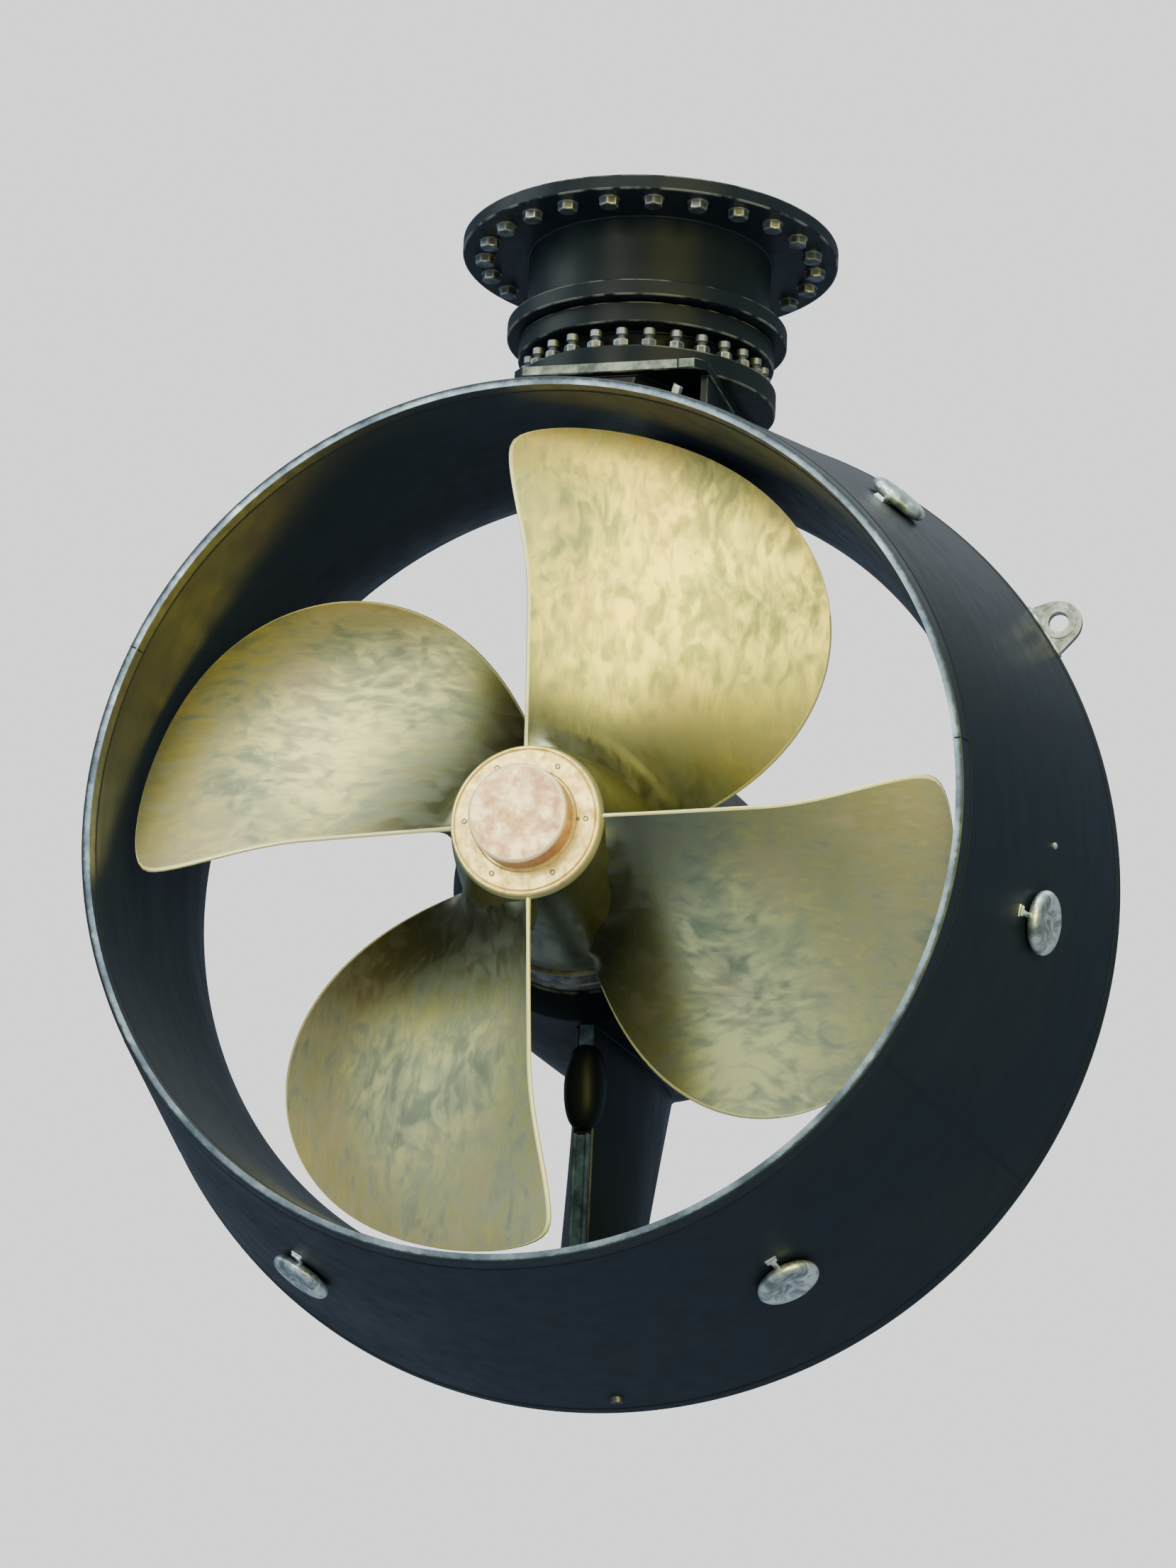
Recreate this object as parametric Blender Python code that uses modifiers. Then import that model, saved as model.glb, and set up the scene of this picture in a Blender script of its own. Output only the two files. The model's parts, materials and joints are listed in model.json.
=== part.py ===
"""Ducted azimuth ship propeller: a steerable leg with a gear housing, a nozzle and a four-bladed screw.

Metres, +Z up. The origin is on the flat top of the mounting flange, on the steering axis.
The nozzle's axis runs along Y, its outlet faces -Y. Along the nozzle, sizes are measured
forwards from the outlet lip and called stations. Heights are measured from the nozzle's axis.
"""
import math

import bmesh
import bpy
from mathutils import Matrix, Vector

# Clearances
SEAT_GAP = 0.0003
TURNING_GAP = 0.006
SHAFT_CLEARANCE = 0.0007

# Screw
BLADE_COUNT = 4
TIP_RADIUS = 1.250
PITCH = 2.133
RAKE = 0.047
TRAILING_ANGLE = -3.1
TIP_ANGLE = 20.0
ROOT_ANGLE = 80.0
TRAILING_SWEEP = 2.9
SWEEP_START = 0.55
SWEEP_END = 0.92
TIP_SQUARENESS = 65
LEADING_FULLNESS = 1.65
LEADING_ROUNDING = 2.4
BLADE_ROOT_THICKNESS = 0.085
BLADE_TIP_THICKNESS = 0.016
BLADE_EDGE = 0.010
BLADE_RIBS = 14
CHORD_STEPS = 10

# Hub and cap
HUB_AFT_STATION = 0.165
HUB_LENGTH = 0.550
HUB_CROWN_LENGTH = 0.255
HUB_AFT_RADIUS = 0.228
HUB_MIDDLE_RADIUS = 0.290
HUB_FRONT_RADIUS = 0.325
HUB_FRONT_STATION = HUB_AFT_STATION + HUB_LENGTH
BLADE_OVERHANG = 0.008
BLADE_STATION = HUB_AFT_STATION - BLADE_OVERHANG
BLADE_SINK = 0.028
BLADE_ROOT_RADIUS = HUB_AFT_RADIUS - BLADE_SINK
CAP_RING_EDGE = 0.003
CAP_RING_THICKNESS = 0.015
CAP_DISC_RADIUS = 0.148
CAP_DISC_HEIGHT = 0.088
SHAFT_RADIUS = 0.150
SHAFT_REACH = 0.060

# Nozzle
TIP_CLEARANCE = 0.012
LIP_FLARE = 0.013
LIP_WIDTH = 0.025
LIP_LENGTH = 0.050
DIFFUSER_LENGTH = 0.516
THROAT_LENGTH = 0.258
INLET_LENGTH = 0.516
INLET_FLARE = 0.235
WALL_DEPTH = 0.328
NOSE_LENGTH = 0.106
NOSE_RING_LENGTH = 0.140
LINER_THICKNESS = 0.016
SHELL_THICKNESS = 0.012
NOZZLE_SIDES = 72
THROAT_RADIUS = TIP_RADIUS + TIP_CLEARANCE
LIP_OUTER_RADIUS = THROAT_RADIUS + LIP_FLARE + LIP_WIDTH
WIDEST_RADIUS = THROAT_RADIUS + WALL_DEPTH
THROAT_END = DIFFUSER_LENGTH + THROAT_LENGTH
NOZZLE_LENGTH = THROAT_END + INLET_LENGTH
WIDEST_STATION = NOZZLE_LENGTH - NOSE_LENGTH
NOSE_BACK = NOZZLE_LENGTH - NOSE_RING_LENGTH

# Steering axis
AXIS_AHEAD_OF_NOZZLE = 0.010
LIP_TO_STEERING_AXIS = NOZZLE_LENGTH + AXIS_AHEAD_OF_NOZZLE

# Gear housing, with lengths forwards from the steering axis
SEAL_LENGTH = 0.079
SEAL_AFT_RADIUS = 0.337
SEAL_RADIUS = 0.365
COLLAR_AFT_RADIUS = 0.372
COLLAR_RADIUS = 0.435
COLLAR_LENGTH = 0.090
HOUSING_RADIUS = 0.525
HOUSING_FULL = 0.150
HOUSING_TAPER = 0.420
COVER_AHEAD = 0.720
COVER_RADIUS = 0.440
COVER_FLANGE = 0.035
COVER_LENGTH = 0.260

# Leg and its top
LEG_HALF_WIDTH = 0.230
LEG_FRONT = 0.520
LEG_BACK = 0.440
LEG_BACK_WIDTH = 0.150
LEG_SINK = 0.225
PASSAGE_REACH = 0.250
FLARE_SPREAD = 0.040
FLARE_CLEARANCE = 0.005
PLATE_OVER_NOZZLE = 0.050
PLATE_THICKNESS = 0.036
PLATE_BACK = 0.468
PLATE_FRONT = 0.540
PLATE_EDGE = 0.007
BRACKET_GAP = 0.016
BRACKET_THICKNESS = 0.024
BRACKET_BACK = 0.400
BRACKET_FRONT = 0.080
BRACKET_SINK = 0.208
LEG_FLANGE_RADIUS = 0.430
LEG_FLANGE_THICKNESS = 0.074
NECK_RADIUS = 0.330
NECK_HEIGHT = 0.080
STEERING_FLANGE_RADIUS = 0.420
STEERING_FLANGE_THICKNESS = 0.070
FLARE_HALF_WIDTH = LEG_HALF_WIDTH + FLARE_SPREAD
BRACKET_INSIDE = FLARE_HALF_WIDTH + BRACKET_GAP
PLATE_HALF_WIDTH = BRACKET_INSIDE + BRACKET_THICKNESS + PLATE_EDGE
PLATE_LOW = WIDEST_RADIUS + PLATE_OVER_NOZZLE
PLATE_HEIGHT = PLATE_LOW + PLATE_THICKNESS

# Fixed trunk
SEAL_RING_RADIUS = 0.460
SEAL_RING_THICKNESS = 0.055
TRUNK_RADIUS = 0.400
TRUNK_BORE = 0.270
TRUNK_LENGTH = 0.2375
FLANGE_RADIUS = 0.620
FLANGE_THICKNESS = 0.050
PIPE_HEAD_ROOM = 0.030
TURNING_STACK = LEG_FLANGE_THICKNESS + NECK_HEIGHT + STEERING_FLANGE_THICKNESS + 3 * SEAT_GAP
FIXED_STACK = SEAL_RING_THICKNESS + TRUNK_LENGTH + FLANGE_THICKNESS + 2 * SEAT_GAP
AXIS_DROP = PLATE_HEIGHT + TURNING_STACK + TURNING_GAP + FIXED_STACK

# Lower strut
STRUT_HALF_WIDTH = 0.115
STRUT_BACK_WIDTH = 0.060
STRUT_BACK = 0.350
STRUT_BEHIND_COVER = 0.050
STRUT_BEHIND_AXIS = 0.040
STRUT_SINK = 0.165
STRUT_FOOT_SINK = 0.178
BOSS_RADIUS = 0.065
BOSS_LENGTH = 0.265
BOSS_RISE = 0.025
STRUT_BACK_STATION = LIP_TO_STEERING_AXIS - STRUT_BACK
STRUT_TOP_LENGTH = STRUT_BACK + COVER_AHEAD - STRUT_BEHIND_COVER
STRUT_FOOT_LENGTH = STRUT_BACK - STRUT_BEHIND_AXIS
BOSS_TOP_HEIGHT = HOUSING_RADIUS - BOSS_RISE
BOSS_FOOT_HEIGHT = BOSS_TOP_HEIGHT + BOSS_LENGTH

# Fairing block between leg and hub
BLOCK_WIDTH = 0.130
BLOCK_RISE = 0.090
BLOCK_LENGTH = 0.030
BLOCK_TOP_HEIGHT = HOUSING_RADIUS + BLOCK_RISE

# Anodes
ANODE_RADIUS = 0.095
ANODE_THICKNESS = 0.046
ANODE_SINK = 0.006
ANODE_STATION = 0.58
ANODE_ANGLES = (47.5, -9.0, -60.2, -120.3, -171.0, 132.5)
STRAP_LENGTH = 0.27
STRAP_WIDTH = 0.016
STRAP_THICKNESS = 0.008
LEG_ANODE_WIDTH = 0.130
LEG_ANODE_THICKNESS = 0.030
LEG_ANODE_BELOW_THROAT = 0.042
LEG_ANODE_OVER_BLOCK = 0.105
STRUT_ANODE_WIDTH = 0.050
STRUT_ANODE_THICKNESS = 0.026
STRUT_ANODE_UNDER_BOSS = 0.012
STRUT_ANODE_OVER_THROAT = 0.075

# Drain plug and lifting eyes
PLUG_STATION = 1.07
PLUG_ANGLE = -86.0
PLUG_RADIUS = 0.020
PLUG_HEIGHT = 0.012
EYE_ANGLE = 32.0
EYE_STATION = WIDEST_STATION
EYE_THICKNESS = 0.025
EYE_HOLE_RADIUS = 0.031
EYE_HOLE_HEIGHT = 0.051
EYE_RIM = 0.041
EYE_BASE = 0.176
EYE_SINK = 0.020

# Paints and metals: colour, roughness, metallic
PAINT = ((0.012, 0.016, 0.026, 1), 0.28, 0.0)
LIP_METAL = ((0.42, 0.48, 0.55, 1), 0.35, 0.6)
BRONZE = ((0.55, 0.43, 0.20, 1), 0.30, 1.0)
CAP_BRONZE = ((0.70, 0.55, 0.33, 1), 0.32, 1.0)
DISC_BRONZE = ((0.62, 0.42, 0.34, 1), 0.40, 1.0)
ZINC = ((0.50, 0.55, 0.58, 1), 0.45, 0.8)
STEEL = ((0.30, 0.31, 0.33, 1), 0.40, 0.9)


def remove_everything():
    """Empties the scene."""
    for old in list(bpy.data.objects):
        bpy.data.objects.remove(old)


def make_collection(name):
    """Adds a collection to the scene."""
    group = bpy.data.collections.new(name)
    bpy.context.scene.collection.children.link(group)
    return group


def station(distance):
    """World Y of a station, measured forwards from the nozzle's lip."""
    return distance - LIP_TO_STEERING_AXIS


def height(above_axis):
    """World Z of a height above the nozzle's axis."""
    return above_axis - AXIS_DROP


def make_material(name, finish):
    """One Principled material for one part."""
    colour, roughness, metallic = finish
    material = bpy.data.materials.new(name)
    material.use_nodes = True
    shader = material.node_tree.nodes["Principled BSDF"]
    shader.inputs["Base Color"].default_value = colour
    shader.inputs["Roughness"].default_value = roughness
    shader.inputs["Metallic"].default_value = metallic
    return material


def add_part(name, mesh, finish):
    """Links a finished mesh as a named part."""
    mesh.name = name
    part = bpy.data.objects.new(name, mesh)
    parts.objects.link(part)
    mesh.materials.append(make_material(name, finish))
    mesh.set_sharp_from_angle(angle=math.radians(35))
    return part


def add_cutter(name, mesh):
    """Links a mesh that only cuts other parts."""
    cutter = bpy.data.objects.new(name, mesh)
    cutters.objects.link(cutter)
    cutter.hide_render = True
    cutter.display_type = "WIRE"
    return cutter


def cut(part, cutter):
    """Cuts one solid out of a part."""
    modifier = part.modifiers.new("cut by " + cutter.name, "BOOLEAN")
    modifier.operation = "DIFFERENCE"
    modifier.solver = "EXACT"
    modifier.object = cutter


def profile_mesh(name, points, closed):
    """Edges through (radius, axial) points in the XZ plane."""
    mesh = bpy.data.meshes.new(name)
    shape = bmesh.new()
    corners = [shape.verts.new((radius, 0.0, axial)) for radius, axial in points]
    for first, second in zip(corners, corners[1:]):
        shape.edges.new((first, second))
    if closed:
        shape.edges.new((corners[-1], corners[0]))
    shape.to_mesh(mesh)
    shape.free()
    return mesh


def turn(thing, steps, along_y=True):
    """Turns a profile into a solid of revolution about Z, or about the nozzle's axis."""
    modifier = thing.modifiers.new("turn", "SCREW")
    modifier.axis = "Z"
    modifier.steps = steps
    modifier.render_steps = steps
    modifier.use_merge_vertices = True
    modifier.merge_threshold = 0.0001
    modifier.use_smooth_shade = True
    if along_y:
        thing.rotation_euler = (-math.pi / 2, 0.0, 0.0)
        thing.location = (0.0, station(0.0), height(0.0))
    return thing


def turned_part(name, points, finish, closed=False, steps=48, along_y=True):
    """A turned part; its points run from the far end down the outer side."""
    return turn(add_part(name, profile_mesh(name, points, closed), finish), steps, along_y)


def turned_cutter(name, points, closed=False, steps=48, along_y=True):
    """A turned solid that only cuts."""
    return turn(add_cutter(name, profile_mesh(name, points, closed)), steps, along_y)


def grow(points, gap):
    """Widens a profile by a gap, and lengthens it by the same at both ends."""
    low = min(axial for _, axial in points)
    high = max(axial for _, axial in points)
    wider = []
    for radius, axial in points:
        longer = axial + gap if axial == high else axial - gap if axial == low else axial
        wider.append((radius + gap if radius > 0 else 0.0, longer))
    return wider


def disc_points(radius, low, high, bevel=0.004):
    """Profile of a plain round plate with its rims broken."""
    return [(0.0, high), (radius - bevel, high), (radius, high - bevel),
            (radius, low + bevel), (radius - bevel, low), (0.0, low)]


def ring_points(outer, inner, low, high):
    """Profile of a plain square-edged ring."""
    return [(outer, high), (outer, low), (inner, low), (inner, high)]


def box_mesh(name, low, high):
    """An upright box between two corners."""
    mesh = bpy.data.meshes.new(name)
    shape = bmesh.new()
    bmesh.ops.create_cube(shape, size=1.0)
    size = [top - bottom for bottom, top in zip(low, high)]
    middle = [(top + bottom) / 2 for bottom, top in zip(low, high)]
    bmesh.ops.scale(shape, vec=size, verts=shape.verts)
    bmesh.ops.translate(shape, vec=middle, verts=shape.verts)
    shape.to_mesh(mesh)
    shape.free()
    return mesh


def soften(part, width):
    """Breaks a part's sharp edges."""
    modifier = part.modifiers.new("soften", "BEVEL")
    modifier.width = width
    modifier.segments = 1
    modifier.limit_method = "ANGLE"
    modifier.angle_limit = math.radians(40)


def loft_mesh(name, rings, split=False):
    """A closed solid through rings with the same number of points; split makes its sides triangles."""
    mesh = bpy.data.meshes.new(name)
    shape = bmesh.new()
    rows = [[shape.verts.new(point) for point in ring] for ring in rings]
    count = len(rows[0])
    for lower, upper in zip(rows, rows[1:]):
        for index in range(count):
            after = (index + 1) % count
            corners = (lower[index], lower[after], upper[after], upper[index])
            if split:
                shape.faces.new(corners[:3])
                shape.faces.new((corners[0], corners[2], corners[3]))
            else:
                shape.faces.new(corners)
    shape.faces.new(list(reversed(rows[0])))
    shape.faces.new(rows[-1])
    bmesh.ops.recalc_face_normals(shape, faces=shape.faces)
    shape.to_mesh(mesh)
    shape.free()
    mesh.shade_smooth()
    return mesh


def foil_outline(back, front, half_width, back_width, margin=0.0, steps=12):
    """Streamlined outline: half an ellipse in front, a taper to a narrow flat edge behind."""
    points = []
    for index in range(steps + 1):
        turn_by = math.pi * index / steps
        points.append(((half_width + margin) * math.cos(turn_by), (front + margin) * math.sin(turn_by)))
    narrow = back_width / 2
    for index in range(1, steps // 2 + 1):
        share = index / (steps // 2)
        wide = narrow + (half_width - narrow) * math.cos(share * math.pi / 2)
        points.append((-wide - margin, -(back + margin) * share))
    for index in range(steps // 2, 0, -1):
        share = index / (steps // 2)
        wide = narrow + (half_width - narrow) * math.cos(share * math.pi / 2)
        points.append((wide + margin, -(back + margin) * share))
    return points


# Nozzle

def inner_radius(at):
    """Inner radius of the duct: a slight widening at the outlet, and a quarter ellipse at the inlet."""
    if at < DIFFUSER_LENGTH:
        share = (DIFFUSER_LENGTH - at) / DIFFUSER_LENGTH
        return THROAT_RADIUS + LIP_FLARE * share ** 1.5
    if at > THROAT_END:
        share = min(1.0, (at - THROAT_END) / INLET_LENGTH)
        return THROAT_RADIUS + INLET_FLARE * (1 - math.sqrt(1 - share * share))
    return THROAT_RADIUS


def outer_radius(at):
    """Outer radius of the duct: a straight cone, then a quarter ellipse round the nose."""
    if at <= WIDEST_STATION:
        return LIP_OUTER_RADIUS + (WIDEST_RADIUS - LIP_OUTER_RADIUS) * at / WIDEST_STATION
    share = min(1.0, (at - WIDEST_STATION) / NOSE_LENGTH)
    nose_radius = THROAT_RADIUS + INLET_FLARE
    return nose_radius + (WIDEST_RADIUS - nose_radius) * math.sqrt(1 - share * share)


def spread(start, end, count):
    """Evenly spaced stations from start to end."""
    return [start + (end - start) * index / count for index in range(count + 1)]


def nose_stations(start):
    """Stations that crowd towards the nozzle's leading edge."""
    quarter = [math.sin(math.pi / 2 * share) for share in spread(0.0, 1.0, 5)]
    return [start + (NOZZLE_LENGTH - start) * share for share in quarter]


def liner_stations():
    """Stations along the liner: few where it is straight, more in the inlet."""
    start, end = LIP_LENGTH + SEAT_GAP, NOSE_BACK - SEAT_GAP
    return [start, DIFFUSER_LENGTH / 2, DIFFUSER_LENGTH] + spread(THROAT_END, end, 5)


def nose_inside_stations():
    """Stations along the inside of the nose."""
    return spread(NOSE_BACK, NOZZLE_LENGTH - 0.02, 4)


def liner_points():
    """Section of the inner skin."""
    inside = [(inner_radius(at), at) for at in liner_stations()]
    outside = [(radius + LINER_THICKNESS, at) for radius, at in reversed(inside)]
    return outside + inside


def shell_points():
    """Section of the outer skin."""
    aft, front = LIP_LENGTH + SEAT_GAP, NOSE_BACK - SEAT_GAP
    return [(outer_radius(front), front), (outer_radius(aft), aft),
            (outer_radius(aft) - SHELL_THICKNESS, aft), (outer_radius(front) - SHELL_THICKNESS, front)]


def nose_points():
    """Section of the leading edge."""
    outside = [(outer_radius(at), at) for at in reversed(nose_stations(WIDEST_STATION))]
    inside = [(inner_radius(at), at) for at in nose_inside_stations()]
    return outside + [(outer_radius(NOSE_BACK), NOSE_BACK)] + inside


def lip_points():
    """Section of the trailing lip, a solid wedge with a flat end."""
    return [(outer_radius(LIP_LENGTH), LIP_LENGTH), (LIP_OUTER_RADIUS, 0.0),
            (inner_radius(0.0), 0.0), (inner_radius(LIP_LENGTH / 2), LIP_LENGTH / 2),
            (inner_radius(LIP_LENGTH), LIP_LENGTH)]


def nozzle_solid_points(gap):
    """Section of the whole duct wall, grown by a gap."""
    outside = [(outer_radius(at) + gap, at) for at in reversed(nose_stations(WIDEST_STATION))]
    stations = [0.0, LIP_LENGTH / 2, LIP_LENGTH] + liner_stations() + nose_inside_stations()
    inside = [(inner_radius(at) - gap, at) for at in stations]
    return outside + [(LIP_OUTER_RADIUS + gap, 0.0)] + inside


def make_nozzle():
    """The duct: lip, inner and outer skins, and nose, cut round the leg."""
    leg_cutter = add_cutter("leg_passage", extruded_foil("leg_passage", SEAT_GAP,
                            height(THROAT_RADIUS - PASSAGE_REACH), height(WIDEST_RADIUS + PASSAGE_REACH)))
    turned_part("nozzle_lip", lip_points(), LIP_METAL, closed=True, steps=NOZZLE_SIDES)
    for name, points in (("nozzle_liner", liner_points()), ("nozzle_shell", shell_points()),
                         ("nozzle_nose", nose_points())):
        cut(turned_part(name, points, PAINT, closed=True, steps=NOZZLE_SIDES), leg_cutter)


# Leg, housing and strut

def extruded_foil(name, margin, low, high):
    """The leg's outline as an upright prism."""
    outline = foil_outline(LEG_BACK, LEG_FRONT, LEG_HALF_WIDTH, LEG_BACK_WIDTH, margin)
    return loft_mesh(name, [[(x, y, level) for x, y in outline] for level in (low, high)])


def ahead(distance):
    """Station of a point measured forwards from the steering axis."""
    return LIP_TO_STEERING_AXIS + distance


def housing_points():
    """Profile of the gear housing, from its front flange down to the collar behind the seal."""
    aft = HUB_FRONT_STATION + TURNING_GAP + SEAL_LENGTH + SEAT_GAP
    flange = COVER_RADIUS + COVER_FLANGE / 2
    points = [(0.0, ahead(COVER_AHEAD)), (flange, ahead(COVER_AHEAD))]
    for share in spread(0.0, 1.0, 4)[1:]:
        radius = flange + (HOUSING_RADIUS - flange) * math.sin(share * math.pi / 2)
        points.append((radius, ahead(COVER_AHEAD + (HOUSING_TAPER - COVER_AHEAD) * share)))
    for share in spread(0.0, 1.0, 5):
        swell = math.cos(share * math.pi / 2) ** 1.2
        radius = COLLAR_RADIUS + (HOUSING_RADIUS - COLLAR_RADIUS) * swell
        full = ahead(HOUSING_FULL)
        points.append((radius, full + (aft + COLLAR_LENGTH - full) * share))
    return points + [(COLLAR_AFT_RADIUS, aft), (0.0, aft)]


def cover_points():
    """Profile of the domed front cover."""
    back = ahead(COVER_AHEAD) + SEAT_GAP
    dome = COVER_LENGTH - COVER_FLANGE - SEAT_GAP
    points = []
    for share in spread(0.0, math.pi / 2, 6):
        points.append((COVER_RADIUS * math.sin(share), back + COVER_FLANGE + dome * math.cos(share)))
    rim = COVER_RADIUS + COVER_FLANGE / 2
    return points + [(rim, back + COVER_FLANGE), (rim, back), (0.0, back)]


def make_housing():
    """Gear housing with its front cover and the shaft seal behind the hub."""
    housing = turned_part("gear_housing", housing_points(), PAINT)
    shaft_bore = turned_cutter("shaft_bore", disc_points(SHAFT_RADIUS + SHAFT_CLEARANCE, HUB_FRONT_STATION,
                               HUB_FRONT_STATION + TURNING_GAP + SEAL_LENGTH + SHAFT_REACH))
    cut(housing, shaft_bore)
    turned_part("housing_front_cover", cover_points(), PAINT)
    aft = HUB_FRONT_STATION + TURNING_GAP
    bore = SHAFT_RADIUS + SHAFT_CLEARANCE
    seal = [(SEAL_RADIUS, aft + SEAL_LENGTH), (SEAL_AFT_RADIUS, aft), (bore, aft), (bore, aft + SEAL_LENGTH)]
    turned_part("seal_housing", seal, STEEL, closed=True)


def make_leg():
    """Leg from the housing up to its top plate, with its zinc bar."""
    housing_cutter = turned_cutter("housing_seat", grow(housing_points(), SEAT_GAP))
    leg_low = height(HOUSING_RADIUS - LEG_SINK)
    leg_top = height(WIDEST_RADIUS + FLARE_CLEARANCE) - 2 * SEAT_GAP
    leg = add_part("leg", extruded_foil("leg", 0.0, leg_low, leg_top), PAINT)
    cut(leg, housing_cutter)
    make_flare(leg_top + SEAT_GAP, height(PLATE_LOW) - SEAT_GAP)
    plate = add_part("leg_top_plate", box_mesh("leg_top_plate",
                     (-PLATE_HALF_WIDTH, -PLATE_BACK, height(PLATE_LOW)),
                     (PLATE_HALF_WIDTH, PLATE_FRONT, height(PLATE_HEIGHT))), PAINT)
    soften(plate, 0.004)
    front = -LEG_BACK - SEAT_GAP
    low = height(BLOCK_TOP_HEIGHT + LEG_ANODE_OVER_BLOCK)
    high = height(THROAT_RADIUS - LEG_ANODE_BELOW_THROAT)
    anode = add_part("leg_bar_anode", box_mesh("leg_bar_anode",
                     (-LEG_ANODE_WIDTH / 2, front - LEG_ANODE_THICKNESS, low),
                     (LEG_ANODE_WIDTH / 2, front, high)), ZINC)
    soften(anode, 0.006)
    return housing_cutter


def make_flare(low, high):
    """Widening between the leg's streamlined outline and the plate."""
    outline = foil_outline(LEG_BACK, LEG_FRONT, LEG_HALF_WIDTH, LEG_BACK_WIDTH)
    foot = [(x, y, low) for x, y in outline]
    top = [(x * FLARE_HALF_WIDTH / LEG_HALF_WIDTH, y, high) for x, y in outline]
    add_part("leg_top_flare", loft_mesh("leg_top_flare", [foot, top]), PAINT)


def make_stem():
    """Turning flanges and neck above the leg, and the pipe inside the trunk."""
    level = PLATE_HEIGHT + SEAT_GAP
    top = level + LEG_FLANGE_THICKNESS
    turned_part("leg_flange", disc_points(LEG_FLANGE_RADIUS, height(level), height(top)), PAINT,
                along_y=False)
    level = top + SEAT_GAP
    turned_part("stem_neck", disc_points(NECK_RADIUS, height(level), height(level + NECK_HEIGHT)),
                PAINT, along_y=False)
    level += NECK_HEIGHT + SEAT_GAP
    top = level + STEERING_FLANGE_THICKNESS
    turned_part("steering_flange", disc_points(STEERING_FLANGE_RADIUS, height(level), height(top)),
                PAINT, along_y=False)
    pipe_top = -FLANGE_THICKNESS - SEAT_GAP - PIPE_HEAD_ROOM
    turned_part("steering_pipe", disc_points(TRUNK_BORE - SHAFT_CLEARANCE, height(top + SEAT_GAP), pipe_top),
                STEEL, along_y=False)
    return height(top)


def make_trunk(turning_top):
    """Fixed part: seal ring, trunk and mounting flange."""
    low = turning_top + TURNING_GAP
    ring = ring_points(SEAL_RING_RADIUS, TRUNK_BORE, low, low + SEAL_RING_THICKNESS)
    turned_part("trunk_seal_ring", ring, PAINT, closed=True, along_y=False)
    foot = low + SEAL_RING_THICKNESS + SEAT_GAP
    trunk = ring_points(TRUNK_RADIUS, TRUNK_BORE, foot, -FLANGE_THICKNESS - SEAT_GAP)
    turned_part("trunk_tube", trunk, PAINT, closed=True, along_y=False)
    turned_part("mounting_flange", disc_points(FLANGE_RADIUS, -FLANGE_THICKNESS, 0.0), PAINT, along_y=False)


def strut_ring(length, half_width, level):
    """One level of the lower strut, whose back edge stays upright."""
    outline = foil_outline(length / 2, length / 2, half_width, STRUT_BACK_WIDTH, steps=8)
    return [(x, y + station(STRUT_BACK_STATION + length / 2), level) for x, y in outline]


def strut_mesh(name, gap):
    """The lower strut, narrower in side view at its foot."""
    foot = strut_ring(STRUT_FOOT_LENGTH, STRUT_HALF_WIDTH + gap, height(-THROAT_RADIUS - STRUT_FOOT_SINK))
    top = strut_ring(STRUT_TOP_LENGTH, STRUT_HALF_WIDTH + gap, height(STRUT_SINK - HOUSING_RADIUS))
    return loft_mesh(name, [foot, top], split=True)


def boss_points():
    """Profile of the egg-shaped boss on the strut's back edge."""
    middle = height(-(BOSS_TOP_HEIGHT + BOSS_FOOT_HEIGHT) / 2)
    points = []
    for turn_by in spread(0.0, math.pi, 8):
        points.append((BOSS_RADIUS * math.sin(turn_by) ** 0.7, middle + BOSS_LENGTH / 2 * math.cos(turn_by)))
    return [(0.0, points[0][1])] + points[1:-1] + [(0.0, points[-1][1])]


def make_strut(housing_cutter, nozzle_wall):
    """Lower strut between housing and nozzle, with its boss and zinc bar."""
    strut = add_part("strut", strut_mesh("strut", 0.0), PAINT)
    cut(strut, housing_cutter)
    cut(strut, nozzle_wall)
    back = station(STRUT_BACK_STATION) - SEAT_GAP
    low = height(STRUT_ANODE_OVER_THROAT - THROAT_RADIUS)
    high = height(-BOSS_FOOT_HEIGHT - STRUT_ANODE_UNDER_BOSS)
    anode = add_part("strut_bar_anode", box_mesh("strut_bar_anode",
                     (-STRUT_ANODE_WIDTH / 2, back - STRUT_ANODE_THICKNESS, low),
                     (STRUT_ANODE_WIDTH / 2, back, high)), ZINC)
    soften(anode, 0.005)
    boss = turned_part("strut_boss", boss_points(), PAINT, steps=24, along_y=False)
    boss.location = (0.0, station(STRUT_BACK_STATION), 0.0)
    strut_seat = add_cutter("strut_seat", strut_mesh("strut_seat", SEAT_GAP))
    strut_seat.location = (0.0, -SEAT_GAP, 0.0)
    cut(boss, strut_seat)
    cut(boss, housing_cutter)


def make_block(housing_cutter):
    """Small fairing block on the housing between the leg and the seal."""
    front = -LEG_BACK - SEAT_GAP
    block = add_part("housing_fairing_block", box_mesh("housing_fairing_block",
                     (-BLOCK_WIDTH / 2, front - BLOCK_LENGTH, height(SEAL_RADIUS)),
                     (BLOCK_WIDTH / 2, front, height(BLOCK_TOP_HEIGHT))), PAINT)
    cut(block, housing_cutter)


def make_brackets(nozzle_wall):
    """Webs that stand on the nozzle and carry the leg's top plate."""
    low, top = height(WIDEST_RADIUS - BRACKET_SINK), height(PLATE_LOW - SEAT_GAP)
    for side, name in ((-1, "nozzle_bracket_left"), (1, "nozzle_bracket_right")):
        near, far = sorted((side * BRACKET_INSIDE, side * (BRACKET_INSIDE + BRACKET_THICKNESS)))
        web = add_part(name, box_mesh(name, (near, -BRACKET_BACK, low), (far, -BRACKET_FRONT, top)), PAINT)
        cut(web, nozzle_wall)


# Anodes on the nozzle

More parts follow.
